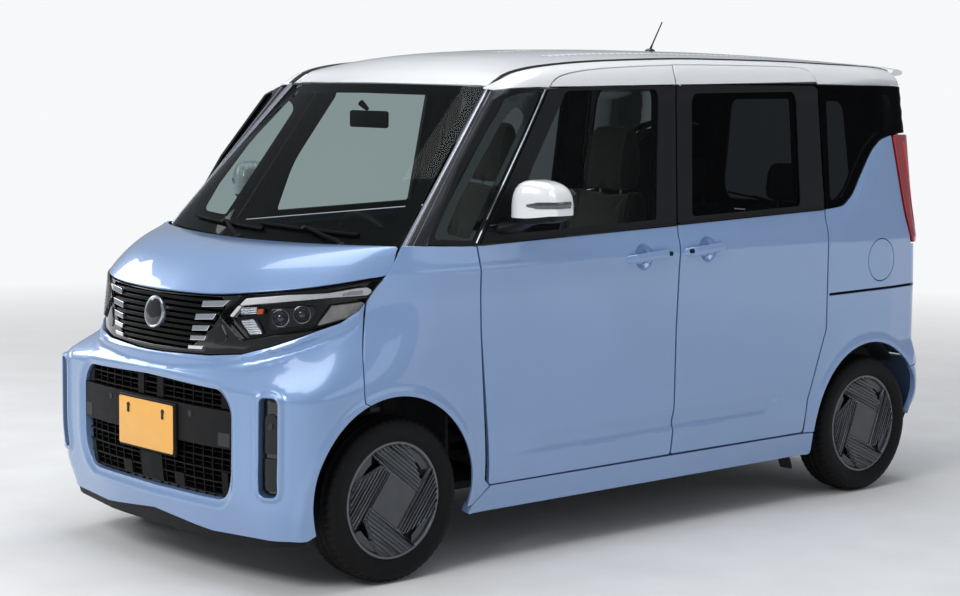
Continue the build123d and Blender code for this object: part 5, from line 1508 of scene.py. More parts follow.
handle("front_door_handle", ((-0.126, 1.026), (0.110, 1.040)), DOORS)
handle("sliding_door_handle", ((0.182, 1.038), (0.414, 1.052)), CHASSIS)
for name, u, v, body in (("front_door", 0.090, 1.0375, DOORS), ("sliding_door", 0.206, 1.0405, CHASSIS)):
    p, n = lifted(bare, u, v, np.array([0.0195]))[0], normal_of(bare, np.array([u]), np.array([v]))[0]
    for i, (side, pp, nn) in enumerate(both_spots(p, n)):
        turned(f"{name}_lock_{side}", [(-0.004, 0.0085), (0.0065, 0.0085), (0.0078, 0.0072),
                (0.0070, 0.0055), (0.0072, 0.0003)], "plastic", pp, nn, body[i], sides=28)


# Door mirror: its middle in plan, and the height of its cap over the way out from the car
MIRROR_X, MIRROR_Y, MIRROR_IN, MIRROR_WIDE = 0.8475, -0.650, 0.755, 0.185


def mirror_plan(n=80):
    """The door mirror's outline seen from above, drawn back at its front edge."""
    t = np.linspace(0, 2 * pi, n, endpoint=False)
    s = np.sin(t)
    x = MIRROR_X + 0.0925 * blunt(np.cos(t), 0.6)
    y = MIRROR_Y + 0.092 * blunt(s, 0.6)
    return np.stack([x, y + 0.055 * smooth((x - 0.795) / 0.14) * np.clip(-s + 0.2, 0, 1)], 1)


mirror_path = mirror_plan()
cap_top = curve([0, 0.10, 0.22, 0.36, 0.55, 0.75, 0.90, 1.0],
    [1.316, 1.325, 1.332, 1.3345, 1.331, 1.323, 1.314, 1.304])


def cap_low(x):
    """Height of the seam under the mirror's cap."""
    return 1.2065 + 0.010 * smooth(((x - MIRROR_IN) / MIRROR_WIDE - 0.45) / 0.55)


def head_rows(angles):
    """Rings of the mirror's cap from its foot up to its closed top."""
    rows = []
    for a in angles:
        k, h = max(cos(a), 0.0) ** 0.5, sin(a) ** 0.5 if a > 0 else 0.0
        x = MIRROR_X + (mirror_path[:, 0] - MIRROR_X) * max(k, 0.012)
        y = MIRROR_Y + (mirror_path[:, 1] - MIRROR_Y) * max(k, 0.012)
        top = cap_top(np.clip((x - MIRROR_IN) / MIRROR_WIDE, 0, 1))
        rows.append(np.stack([x, y, cap_low(x) + (top - cap_low(x)) * h], 1))
    return rows


turns = np.radians([0, 0.4, 2, 5, 10, 18, 28, 40, 52, 62, 70, 77, 82, 86, 88.5, 89.7])
cap_l = loft("mirror_cap_left", head_rows(turns), "white", DOORS[0], "roof_paint", closed_v=True, cap=True)
low = []
for dz, k in ((0.0015, 0.955), (-0.0015, 0.95), (-0.009, 0.90), (-0.017, 0.80), (-0.022, 0.66),
        (-0.024, 0.50)):
    low.append(np.stack([MIRROR_X + (mirror_path[:, 0] - MIRROR_X) * k,
                MIRROR_Y + (mirror_path[:, 1] - MIRROR_Y) * k, cap_low(mirror_path[:, 0]) + dz], 1))
low_l = loft("mirror_base_left", low, "plastic", DOORS[0], "black_trim", closed_v=True, cap=True)
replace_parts(cap_l, "mirror_left")
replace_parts(twin(cap_l, "mirror_cap_right", DOORS[1]), "mirror_right")
twin(low_l, "mirror_base_right", DOORS[1])


def flat_plate(name, pts, out, thick, mat, slot):
    """A plate on each front door through the given corner points, moved along its own normal."""
    pts = np.array(pts, float)
    n = unit(np.cross(pts[1] - pts[0], pts[2] - pts[0]))
    both_sides(name, [pts + n * out, pts + n * (out + thick)], mat, DOORS, slot)


glass_path = [(0.772, -0.5695, 1.226), (0.895, -0.5545, 1.228), (0.918, -0.5560, 1.250),
    (0.916, -0.5560, 1.288), (0.892, -0.5560, 1.306), (0.775, -0.5700, 1.312)]
centre = np.mean(glass_path, axis=0)
glass_path = [tuple(centre + (np.array(p) - centre) * 0.88 - (0.004, 0, 0.002)) for p in glass_path]
flat_plate("mirror_surround", glass_path, -0.014, 0.019, "plastic", "black_trim")
centre = np.mean(glass_path, axis=0)
flat_plate("mirror_glass", [tuple(centre + (np.array(p) - centre) * 0.90) for p in glass_path], 0.004,
    0.0030, "mirror", "window_glass")
lens_rows = []
run = mirror_path[(mirror_path[:, 0] > 0.846) & (mirror_path[:, 1] < -0.600)]
run = run[np.argsort(run[:, 0] + run[:, 1] * 0.8)]
for i, (x, y) in enumerate(run):
    t = i / (len(run) - 1)
    n = unit(np.array([x - 0.835, y + 0.640, 0]))
    base = np.array((x, y, 1.2500 + 0.003 * t)) - n * 0.0005
    h = 0.0112 * min(1.0, 0.12 + t / 0.10) ** 0.5
    lens_rows.append([base - n * 0.010 + (0, 0, h), base + n * 0.0020 + (0, 0, h),
            base + n * (0.0030 if i == 0 else 0.0042), base + n * 0.0020 - (0, 0, h),
            base - n * 0.010 - (0, 0, h)])
both_sides("mirror_turn_lamp", lens_rows, "mirror_lens", DOORS, "lamp_lens")
stalk = []
for t, w, d in ((0, 0.058, 0.024), (0.2, 0.054, 0.020), (0.5, 0.042, 0.015), (0.75, 0.038, 0.013),
        (1.0, 0.040, 0.014)):
    c = np.array((0.700, -0.690, 1.163)) * (1 - t) + np.array((0.815, -0.664, 1.200)) * t + np.array((0.006,
            0, -0.006)) * sin(pi * t)
    along = unit(np.array((0.115, 0.026, 0.037)))
    side = unit(np.cross(along, (0, 1, 0)))
    row = []
    for k in range(20):
        a = 2 * pi * k / 20
        row.append(c + np.array((0, 1, 0)) * w * blunt(cos(a), 0.7) + side * d * blunt(sin(a), 0.7))
    stalk.append(row)
both_sides("mirror_stalk", stalk, "plastic", DOORS)


# Bright line behind the quarter light and along the front pillar
def edging(name, surf, path, width, out, mat, bodies=CHASSIS):
    """A thin strip laid along a path on the surface, both sides."""
    path = even(np.array(path, float), 0.015, False)
    d = np.gradient(path, axis=0)
    n2 = unit(np.stack([-d[:, 1], d[:, 0]], 1))
    rows = []
    for off, o in ((-0.5, -0.002), (-0.5, out), (0.5, out), (0.5, -0.002)):
        q = path + n2 * width * off
        rows.append(lifted(surf, q[:, 0], q[:, 1], np.full(len(q), o)))
    rows = np.transpose(np.array(rows), (1, 0, 2))
    both_sides(name, rows, mat, bodies)


edging("quarter_light_line", bare, [(-0.838, 1.120), (-0.700, 1.310), (-0.580, 1.474), (-0.468, 1.634)],
    0.0052, 0.003, "chrome")
edging("mirror_base_line", bare, [(-0.775, 1.176), (-0.700, 1.180), (-0.640, 1.182)], 0.004, 0.010,
    "satin_chrome", DOORS)
edging("front_belt_line", skin, [(-0.818, 1.1165), (-0.40, 1.127), (0.158, 1.143)], 0.006, 0.004, "plastic",
    DOORS)
edging("sliding_belt_line", skin, [(0.176, 1.144), (0.60, 1.158), (1.018, 1.169)], 0.006, 0.004, "plastic")

# ---------------------------------------------------------------- cowl, wipers and antenna
cowl_rows = []
for across_hood in np.linspace(-(p_end - 0.03), p_end - 0.03, 61):
    a = hood(np.array([across_hood]), np.array([0.404]))[0]
    b = screen(np.array([a[0] * 0.93]), np.array([-0.014]))[0]
    a, b = a + (0, 0.004, -0.010), b + (0, 0, -0.006)
    cowl_rows.append([a + (0, 0.0, -0.03), a, a * 0.75 + b * 0.25 - (0, 0, 0.006),
            a * 0.4 + b * 0.6 - (0, 0, 0.004), b])
loft("cowl_cover", cowl_rows, "plastic", slot="black_trim")


def on_glass(x, q, out):
    """A point above the windshield."""
    return spot(screen, x, q, -out)[0]


for k, (x0, q0, x1, q1, px) in enumerate(((0.500, 0.034, 0.030, 0.056, 0.420),
        (0.060, 0.030, -0.440, 0.052, -0.080))):
    blade = [on_glass(x0 + (x1 - x0) * t, q0 + (q1 - q0) * t, 0.0075) for t in np.linspace(0, 1, 30)]
    rubber = [on_glass(x0 + (x1 - x0) * t, q0 + (q1 - q0) * t, 0.0030) for t in np.linspace(0.01, 0.99, 30)]
    w1 = tube(f"wiper_blade_{k}", blade, 0.0072, "seam", slot="black_trim", sides=8)
    tube(f"wiper_rubber_{k}", rubber, 0.0024, "rubber", slot="black_trim", sides=6)
    mid = on_glass((x0 + x1) / 2, (q0 + q1) / 2, 0.016)
    pivot = np.array((px + 0.055, float(on_glass(px + 0.055, -0.02, 0.0)[1]) - 0.012, 1.112))
    arm = [pivot, pivot + (-0.03, 0.006, 0.013), (pivot + mid) / 2 + (0, -0.004, 0.006),
        mid + (0.02, 0, 0.001), mid]
    tube(f"wiper_arm_{k}", arm, [0.0095, 0.0092, 0.0078, 0.0066, 0.0058], "seam", slot="black_trim", sides=10)
    turned(f"wiper_pivot_{k}", [(-0.016, 0.013), (0.004, 0.013), (0.009, 0.0105), (0.011, 0.0003)],
        "plastic", pivot, (0, -0.35, 1))
    turned(f"wiper_joint_{k}", [(-0.008, 0.008), (0.004, 0.008), (0.0055, 0.0062), (0.006, 0.0003)],
        "plastic", mid, (0, -0.7, 0.7), sides=20)
    if k == 0:
        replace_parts(w1, "front_wipers")
rows = []
for z, a, b in ((1.781, 0.017, 0.027), (1.788, 0.0165, 0.026), (1.7935, 0.014, 0.021),
        (1.7965, 0.0095, 0.014), (1.798, 0.006, 0.008)):
    rows.append([(a * cos(t), 0.757 + b * sin(t), z) for t in np.linspace(0, 2 * pi, 28, endpoint=False)])
foot = loft("antenna_foot", rows, "gloss_black", slot="black_trim", closed_v=True, cap=True)
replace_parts(foot, "antenna")
tube("antenna_rod", [(0, 0.757, 1.792), (0, 0.764, 1.804), (0, 0.772, 1.818), (0, 0.826, 1.9065)],
    [0.0048, 0.0045, 0.0032, 0.0026], "plastic", slot="black_trim", sides=10)

# ---------------------------------------------------------------- tailgate, lamps and rear bumper
GATE = "tailgate"
gate_low = full(rounded([(0, 0.527, 0), (0.777, 0.527, 0.02), (0.7855, 0.60, 0), (0.8045, 0.985, 0.02),
            (0.795, 1.004, 0.02), (0.779, 1.020, 0.01), (0.779, 1.086, 0.004), (0, 1.092, 0)], False))
gate_hi = full(rounded([(0, 1.098, 0), (0.779, 1.092, 0.004), (0.793, 1.453, 0.01), (0.814, 1.466, 0.01),
            (0.814, 1.640, 0.004), (0, 1.640, 0)], False))
gate_hole = full(rounded([(0, 1.140, 0), (0.585, 1.138, 0.05), (0.610, 1.20, 0.3), (0.585, 1.585, 0.05),
            (0, 1.592, 0)], False))
gate_top = full(rounded([(0, 1.645, 0), (0.815, 1.645, 0.004), (0.800, 1.775, 0.05), (0, 1.785, 0)], False))


def gate_formed(s, v):
    """The tailgate with a recess for the plate and a soft crease under the glass."""
    s, v = np.broadcast_arrays(np.asarray(s, float), np.asarray(v, float))
    p = tail(s, v)
    n = normal_of(tail, s.ravel(), v.ravel()).reshape(p.shape)
    box = smooth((0.235 - np.abs(s)) / 0.030) * smooth((v - 0.700) / 0.030) * smooth((0.928 - v) / 0.014)
    line = 0.004 * np.exp(-(((v - 1.035) / 0.02) ** 2)) * smooth((0.74 - np.abs(s)) / 0.1)
    return p + n * (line - 0.020 * box)[..., None]


recess = rounded([(-0.225, 0.705, 0.01), (0.225, 0.705, 0.01), (0.225, 0.925, 0.01), (-0.225, 0.925, 0.01)])
gs = panel("tailgate_skin", gate_formed, gate_low, "blue", GATE, "body_paint", grid=0.018, flange=0.014,
    fine=((0.008, ring(recess), 0.03),))
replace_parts(gs, "tailgate")
panel("tailgate_window_frame", tail, gate_hi, "frit", GATE, "window_glass", holes=[gate_hole], sink=0.004,
    grid=0.03, flange=0.012)
gg = panel("tailgate_pane", tail, drawn_in(gate_hi, 0.014), "privacy", GATE, "window_glass", grid=0.04,
    flange=0.003, soft=0.0015)
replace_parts(gg, "tailgate_glass")
panel("tailgate_top", tail, gate_top, "white", GATE, "roof_paint", grid=0.02, flange=0.012)
rows = []
for x in np.linspace(-0.60, 0.60, 49):
    e = abs(x) / 0.60
    z = 1.7480 - 0.030 * e ** 2.5
    y = 1.618 - 0.010 * e ** 2
    d = 0.062 * (1 - 0.25 * e ** 4)
    rows.append([(x, y - 0.030, z - 0.010), (x, y - 0.010, z + 0.002), (x, y + 0.02, z + 0.0035),
            (x, y + d - 0.006, z - 0.003), (x, y + d, z - 0.008), (x, y + d - 0.003, z - 0.014),
            (x, y + 0.03, z - 0.020), (x, y - 0.02, z - 0.024)])
loft("tailgate_spoiler", rows, "white", GATE, "roof_paint", closed_v=True, cap=True)
stop = [(x, 1.6815 - 0.008 * (x / 0.6) ** 2, 1.7365) for x in np.linspace(-0.13, 0.13, 20)]
tube("high_stop_lamp", stop, 0.0035, "red_lens", GATE, "tail_lamp_lens", sides=10)


def rear_part(name, rows, mat, sink, depth, slot, both=False, soft=0.0015):
    """A small moulded part that follows the tailgate, on one or both sides."""
    path = rounded(rows, step=0.008)
    for end, way in (("_right", path), ("_left", flipped(path))) if both else (("", path),):
        panel(name + end, tail, way, mat, GATE, slot, sink=sink, flange=depth, soft=soft, grid=0.02)


rear_part("plate_garnish", [(-0.265, 0.932, 0.008), (0.265, 0.932, 0.008), (0.255, 0.962, 0.008),
        (-0.255, 0.962, 0.008)], "gloss_black", -0.014, 0.020, "black_trim", soft=0.004)
rear_part("plate_lamp", [(0.060, 0.915, 0.002), (0.110, 0.915, 0.002), (0.110, 0.924, 0.002),
        (0.060, 0.924, 0.002)], "lamp_white", 0.004, 0.012, "lamp_lens", both=True)
rear_part("tailgate_release", [(-0.060, 0.914, 0.004), (0.060, 0.914, 0.004), (0.060, 0.930, 0.004),
        (-0.060, 0.930, 0.004)], "plastic", 0.002, 0.014, "black_trim")
rp = plate_mesh("rear_plate_blank", 1.6785, 1.6815, 0.806, GATE)
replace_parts(rp, "rear_plate")
for k, x in enumerate((-0.105, 0.105)):
    turned(f"rear_plate_bolt_{k}", PLATE_BOLT, "steel", (x, 1.6815, 0.862), (0, 1, 0), GATE, sides=24)


# Rear wiper at rest across the foot of the glass
def on_tail(x, z, out):
    """A point above the tail surface at a given x, found by halving."""
    near_s, far_s = 0.0, 0.80
    for _ in range(26):
        middle = (near_s + far_s) / 2
        if tail(np.array([middle]), np.array([z]))[0][0] > -abs(x):
            near_s = middle
        else:
            far_s = middle
    p, n = spot(tail, near_s, z)
    if x > 0:
        p, n = mirror_spot(p, n)
    return p + n * out


pv = on_tail(0.0, 1.112, 0.006)
turned("rear_wiper_pivot", [(-0.012, 0.019), (0.010, 0.019), (0.018, 0.014), (0.020, 0.0003)], "plastic",
    pv, (0, 1, 0.1), GATE)
tube("rear_wiper_arm", [on_tail(0.0, 1.114, 0.022), on_tail(-0.06, 1.120, 0.024),
        on_tail(-0.22, 1.150, 0.018)], [0.0085, 0.0075, 0.0045], "plastic", GATE, "black_trim", sides=10)
tube("rear_wiper_blade", [on_tail(x, 1.128 + 0.0011 * (x + 0.05) / -0.01, 0.0085)
        for x in np.linspace(-0.05, -0.36, 20)], 0.0045, "rubber", GATE, "black_trim", sides=8)

lamp_rows = [(1.501, 1.455, 0.012), (1.577, 1.010, 0.012), (1.664, 1.012, 0.02), (1.652, 1.22, 0.3),
    (1.643, 1.453, 0.015)]
tl = pair("tail_lamp_shell", skin, rounded(lamp_rows), "red_lens", slot="tail_lamp_lens", sink=-0.010,
    flange=0.024, soft=0.006, grid=0.016)
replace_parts(tl[0], "tail_lamps")
pair("tail_lamp_strip", skin, rounded([(1.560, 1.425, 0.004), (1.612, 1.060, 0.004), (1.622, 1.060, 0.004),
            (1.572, 1.428, 0.004)]), "amber_red", slot="tail_lamp_lens", sink=-0.0115, flange=0.004,
    soft=0.001, grid=0.02)
pair("tail_lamp_reverse", skin, rounded([(1.606, 1.022, 0.004), (1.655, 1.022, 0.004),
            (1.652, 1.075, 0.004), (1.604, 1.075, 0.004)]), "lamp_white", slot="lamp_lens", sink=-0.0112,
    flange=0.004, soft=0.001, grid=0.02)

arch_s = arch(REAR_ARCH, 3, 39.5)
arch_s = np.stack([TAIL_S - arch_s[:, 0], arch_s[:, 1]], 1)
bumper_r = full(join(rounded([(0, 0.300, 0), (0.60, 0.300, 0.05), (0.835, 0.288, 0.004)], False),
        arch_s[1:], rounded([(0.8746, 0.4955, 0), (0.794, 0.5175, 0.02), (0.76, 0.521, 0), (0, 0.521, 0)],
            False)[1:]))
rb = panel("rear_bumper_skin", tail, bumper_r, "blue", slot="body_paint", grid=0.016, flange=0.02,
    fine=((0.008, np.array([(-0.8, 0.40), (0.8, 0.40)]), 0.02),))
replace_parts(rb, "rear_bumper")
lower = full(rounded([(0, 0.232, 0), (0.60, 0.232, 0.06), (0.815, 0.262, 0.01), (0.829, 0.284, 0.004),
            (0.60, 0.296, 0.05), (0, 0.296, 0)], False))
panel("rear_valance", tail, lower, "plastic", slot="black_trim", sink=0.010, grid=0.02, flange=0.02)
for sign, side in ((-1, "left"), (1, "right")):
    path = rounded([(0.52, 0.345, 0.008), (0.66, 0.348, 0.008), (0.66, 0.372, 0.008), (0.52, 0.369, 0.008)])
    panel("rear_reflector_" + side, tail, path if sign > 0 else flipped(path), "red_lens",
        slot="tail_lamp_lens", sink=-0.002, flange=0.008, grid=0.02)


# ---------------------------------------------------------------- inner trim
def lining(name, path, mat, bodies, sink, holes=()):
    """Trim on the inner side of a wall, facing the cabin, on both sides of the car."""
    pair(name, bare, path, mat, bodies, "dash_plastic", holes, sink=sink, inward=True, grid=0.03,
        flange=-0.010, soft=0.002)


front_in = rounded([(-0.700, 0.330, 0.03), (0.120, 0.330, 0.03), (0.130, 0.751, 0.3), (0.150, 1.125, 0.01),
        (-0.745, 1.100, 0.02), (-0.740, 0.80, 0.2)])
slide_in = rounded([(0.175, 0.330, 0.03), (0.880, 0.330, 0.03), (0.900, 0.45, 0.05), (0.960, 0.60, 0.1),
        (1.000, 0.70, 0.08), (1.005, 1.150, 0.01), (0.185, 1.128, 0.01)])
lining("front_door_trim", front_in, "trim_dark", DOORS, 0.062)
lining("sliding_door_trim", slide_in, "trim_dark", CHASSIS, 0.062)
lining("front_door_upper_trim", drawn_in(front_frame, 0.012), "trim_dark", DOORS, 0.040,
    [drawn_in(front_hole, -0.012)])
lining("sliding_door_upper_trim", drawn_in(slide_frame, 0.012), "trim_dark", CHASSIS, 0.040,
    [drawn_in(slide_hole, -0.012)])
lining("quarter_upper_trim", drawn_in(quarter_black, 0.008), "trim_light", CHASSIS, 0.036,
    [drawn_in(quarter_hole, -0.004)])
quarter_in = rounded([(1.045, 0.66, 0.03), (1.20, 0.67, 0.03), (1.56, 0.67, 0.03), (1.575, 1.00, 0.02),
        (1.495, 1.440, 0.02), (1.417, 1.427, 0.1), (1.276, 1.292, 0.2), (1.214, 1.211, 0.12),
        (1.151, 1.165, 0.12), (1.045, 1.155, 0.02)])
lining("quarter_lower_trim", quarter_in, "trim_dark", CHASSIS, 0.050)
rail_in = rounded([(-0.560, 1.652, 0.01), (1.600, 1.655, 0.01), (1.590, 1.790, 0.01), (-0.560, 1.790, 0.01)])
lining("roof_side_trim", rail_in, "trim_light", CHASSIS, 0.030)
head_path = full(rounded([(0, -0.640, 0), (0.500, -0.560, 0.05), (0.545, -0.50, 0.05), (0.545, 1.53, 0.03),
            (0, 1.545, 0)], False))
panel("headliner", roof, head_path, "trim_light", slot="dash_plastic", sink=0.030, inward=True, grid=0.03,
    flange=-0.010)
gate_in = full(rounded([(0, 0.60, 0), (0.64, 0.60, 0.05), (0.66, 1.08, 0.02), (0, 1.09, 0)], False))
panel("tailgate_trim", tail, gate_in, "trim_dark", GATE, "dash_plastic", sink=0.050, inward=True, grid=0.03,
    flange=-0.012)
panel("tailgate_upper_trim", tail, drawn_in(full(rounded([(0, 1.10, 0), (0.68, 1.10, 0.02),
                    (0.70, 1.66, 0.03), (0, 1.67, 0)], False)), 0.001), "trim_dark", GATE, "dash_plastic",
    sink=0.034, inward=True, grid=0.03, flange=-0.012, holes=[drawn_in(gate_hole, -0.010)])
# Pieces on the doors: name, inner and outer x, the other two ranges, finish, bevel, segments
DOOR_BOXES = [("armrest", 0.610, 0.676, (-0.42, 0.08), (0.700, 0.745), "trim_dark", 0.014, 4),
    ("switches", 0.622, 0.662, (-0.36, -0.20), (0.7445, 0.7495), "gloss_black", 0.002, 3),
    ("pocket", 0.625, 0.672, (-0.58, 0.04), (0.36, 0.50), "trim_dark", 0.010, 3)]
for sign, side, door in ((1, "left", DOORS[0]), (-1, "right", DOORS[1])):
    for part, x0, x1, ys, zs, mat, bevel, segments in DOOR_BOXES:
        low_x, high_x = sorted((sign * x0, sign * x1))
        cabin(f"door_{part}_{side}", (low_x, ys[0], zs[0]), (high_x, ys[1], zs[1]), mat, bevel, segments,
            door)
    tube("door_inner_pull_" + side, [(sign * 0.668, -0.50, 0.900), (sign * 0.652, -0.495, 0.900),
            (sign * 0.650, -0.40, 0.903), (sign * 0.664, -0.385, 0.903)], 0.008, "satin_chrome", door,
        "dash_plastic", sides=10)
    tube("belt_strap_" + side, [(sign * 0.640, 0.165, 1.300), (sign * 0.618, 0.168, 1.20),
            (sign * 0.626, 0.172, 0.80), (sign * 0.632, 0.172, 0.36)], 0.006, "seam", slot="seat_cloth",
        sides=8)

# Floor covering
rows = []
for x in np.linspace(-0.590, 0.590, 41):
    rows.append([(x, y, 0.276 + (0.030 if y < -0.61 else 0.012))
            for y in (-0.66, -0.60, -0.4, 0.0, 0.5, 0.70, 0.74, 1.0, 1.38, 1.545)])
loft("floor_carpet", rows, "carpet", slot="dash_plastic")
for k, (x0, x1, y0, y1) in enumerate(((0.11, 0.55, -0.60, -0.50), (-0.55, -0.11, -0.60, -0.50),
        (0.06, 0.52, 0.30, 0.68), (-0.52, -0.06, 0.30, 0.68))):
    cabin(f"floor_mat_{k}", (x0, y0, 0.2885), (x1, y1, 0.2955), "carpet", 0.003)

# ---------------------------------------------------------------- seats
SCENE = bpy.context.scene


def pad_base(line, widths, thick, bolster, n=30, around=56, square=0.5, cap=7):
    """Closed form along a line of (y, z): rounded sections of given size, raised at the front sides."""
    line = np.array(line, float)
    seg = np.concatenate([[0], np.cumsum(np.linalg.norm(np.diff(line, axis=0), axis=1))])
    seg /= seg[-1]
    ts = 0.5 - 0.5 * np.cos(np.linspace(0.02, pi - 0.02, n))
    rows = []
    for t in ts:
        y, z = np.interp(t, seg, line[:, 0]), np.interp(t, seg, line[:, 1])
        before, after = [np.array([np.interp(w, seg, line[:, i]) for i in (0, 1)])
            for w in (max(t - 0.01, 0), min(t + 0.01, 1))]
        d = unit(after - before)
        nrm = np.array((-d[1], d[0]))
        end = (1 - abs(2 * t - 1) ** cap) ** (1 / 3.0)
        w, h = np.interp(t, seg, widths) / 2, np.interp(t, seg, thick) / 2
        kept = 0.86 if cap > 5 else 0.55
        w, h = w * (kept + (1 - kept) * end), h * (0.35 + 0.65 * end)
        row = []
        for k in range(around):
            a = 2 * pi * k / around
            px, ph = w * blunt(cos(a), square), h * blunt(sin(a), 0.62)
            if ph > 0:
                ph += bolster * (smooth((abs(px) / w - 0.52) / 0.30) - 0.55) * end
            row.append((px, y + nrm[0] * ph, z + nrm[1] * ph))
        rows.append(row)
    return np.array(rows)


def stuffed(name, rows, seams, voxel, frames=16, force=4.0, cap_move=0.024):
    """A pad filled by pressure between its sewn lines; returns its mesh."""
    m, n = rows.shape[:2]
    faces = [(i * n + j, i * n + (j + 1) % n, (i + 1) * n + (j + 1) % n, (i + 1) * n + j)
        for i in range(m - 1) for j in range(n)]
    faces += [tuple(range(n))[::-1], tuple((m - 1) * n + j for j in range(n))]
    me = bpy.data.meshes.new(name)
    me.from_pydata([tuple(v) for v in rows.reshape(-1, 3)], [], faces)
    bm = bmesh.new()
    bm.from_mesh(me)
    bmesh.ops.recalc_face_normals(bm, faces=bm.faces)
    bm.to_mesh(me)
    bm.free()
    o = bpy.data.objects.new(name, me)
    LINKS.link(o)
    rm = o.modifiers.new("remesh", "REMESH")
    rm.mode, rm.voxel_size = "VOXEL", voxel
    dg = bpy.context.evaluated_depsgraph_get()
    made = bpy.data.meshes.new_from_object(o.evaluated_get(dg))
    o.modifiers.clear()
    o.data = made
    bpy.data.meshes.remove(me)
    bm = bmesh.new()
    bm.from_mesh(made)
    for _ in range(3):
        bmesh.ops.smooth_vert(bm, verts=bm.verts, factor=0.5, use_axis_x=True, use_axis_y=True,
            use_axis_z=True)
    bm.to_mesh(made)
    bm.free()
    co = np.empty(len(made.vertices) * 3)
    made.vertices.foreach_get("co", co)
    co = co.reshape(-1, 3)
    held = o.vertex_groups.new(name="sewn")
    far = np.full(len(co), 9.0)
    for line in seams:
        far = np.minimum(far, line(co))
    for i in np.nonzero(far < voxel * 1.1)[0]:
        held.add([int(i)], 1.0, "REPLACE")
    cm = o.modifiers.new("cloth", "CLOTH")
    st = cm.settings
    st.quality, st.mass = 5, 0.3
    st.tension_stiffness = st.compression_stiffness = 12.0
    st.shear_stiffness, st.bending_stiffness = 4.0, 0.4
    st.use_pressure, st.uniform_pressure_force = True, force
    st.shrink_min = -0.02
    st.effector_weights.gravity = 0.0
    st.vertex_group_mass = "sewn"
    cm.collision_settings.use_collision = False
    cm.point_cache.frame_start, cm.point_cache.frame_end = 1, frames
    for f in range(1, frames + 1):
        SCENE.frame_set(f)
    dg = bpy.context.evaluated_depsgraph_get()
    done = bpy.data.meshes.new_from_object(o.evaluated_get(dg))
    o.modifiers.clear()
    SCENE.frame_set(1)
    new = np.empty(len(done.vertices) * 3)
    done.vertices.foreach_get("co", new)
    move = new.reshape(-1, 3) - co
    size = np.linalg.norm(move, axis=1, keepdims=True)
    co = co + move * np.minimum(1, cap_move / np.maximum(size, 1e-9))
    made.vertices.foreach_set("co", co.ravel())
    bpy.data.meshes.remove(done)
    made.update()
    bpy.data.objects.remove(o)
    return made


def place_pad(name, me, split, x, body="chassis"):
    """A copy of a pad mesh at x with two cloths: the middle and the sides."""
    c = me.copy()
    c.transform(Matrix.Translation((x, 0, 0)))
    o = bpy.data.objects.new(name, c)
    c.materials.clear()
    c.materials.append(M["seat"])
    c.materials.append(M["seat_side"])
    mid = np.array([p.center.x for p in c.polygons]) - x
    c.polygons.foreach_set("material_index", (np.abs(mid) > split).astype(int))
    c.polygons.foreach_set("use_smooth", [True] * len(c.polygons))
    LINKS.link(o)
    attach(o, body)
    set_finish(o, "seat_cloth")
    return o


def piping(name, me, path, x, radius=0.0028):
    """A sewn cord laid on a pad's surface along a path."""
    bm = bmesh.new()
    bm.from_mesh(me)
    tree = BVHTree.FromBMesh(bm)
    pts = []
    for p in even(np.array(path, float), 0.010, False):
        hit = tree.find_nearest(Vector(p))
        pts.append(np.array(hit[0]) + np.array((x, 0, 0)) + np.array(hit[1]) * 0.0006)
    bm.free()
    return tube(name, pts, radius, "seat_side", slot="seat_cloth", sides=6)


def across(split):
    """Distance to the two long seams of a pad."""
    return lambda co: np.abs(np.abs(co[:, 0]) - split)


def at_height(axis, value, split):
    """Distance to a seam that runs across the middle of a pad."""
    return lambda co: np.where(np.abs(co[:, 0]) < split, np.abs(co[:, axis] - value), 9.0)


# Pads: kind, middle line (y, z), widths, thicknesses, raise of the sides, place of the long seams,
# cross seams (axis, place), and for a headrest its rings, points, squareness and roundness of the ends
PADS = [
    ("front_cushion", [(-0.485, 0.470), (-0.30, 0.480), (0.05, 0.450)], (0.46, 0.48, 0.46), (0.13, 0.135, 0.13),
     0.030, 0.155, [(1, -0.36), (1, -0.12)], ()),
    ("front_back", [(0.035, 0.460), (0.100, 0.810), (0.184, 1.248)], (0.46, 0.48, 0.38), (0.115, 0.115, 0.085),
     0.036, 0.148, [(2, 0.66), (2, 0.98)], ()),
    ("front_headrest", [(0.190, 1.256), (0.214, 1.492)], (0.290, 0.222), (0.096, 0.078),
     0.0, 0.088, [], (24, 44, 0.78, 2.8)),
    ("rear_cushion", [(0.745, 0.545), (0.95, 0.552), (1.250, 0.525)], (0.49, 0.515, 0.50), (0.135, 0.14, 0.12),
     0.020, 0.180, [(1, 0.90)], ()),
    ("rear_back", [(1.240, 0.560), (1.285, 0.820), (1.345, 1.140)], (0.49, 0.51, 0.46), (0.105, 0.10, 0.08),
     0.022, 0.175, [(2, 0.74), (2, 0.96)], ()),
    ("rear_headrest", [(1.340, 1.165), (1.352, 1.322)], (0.245, 0.225), (0.080, 0.070),
     0.0, 0.082, [], (20, 44, 0.75, 3.2)),
]
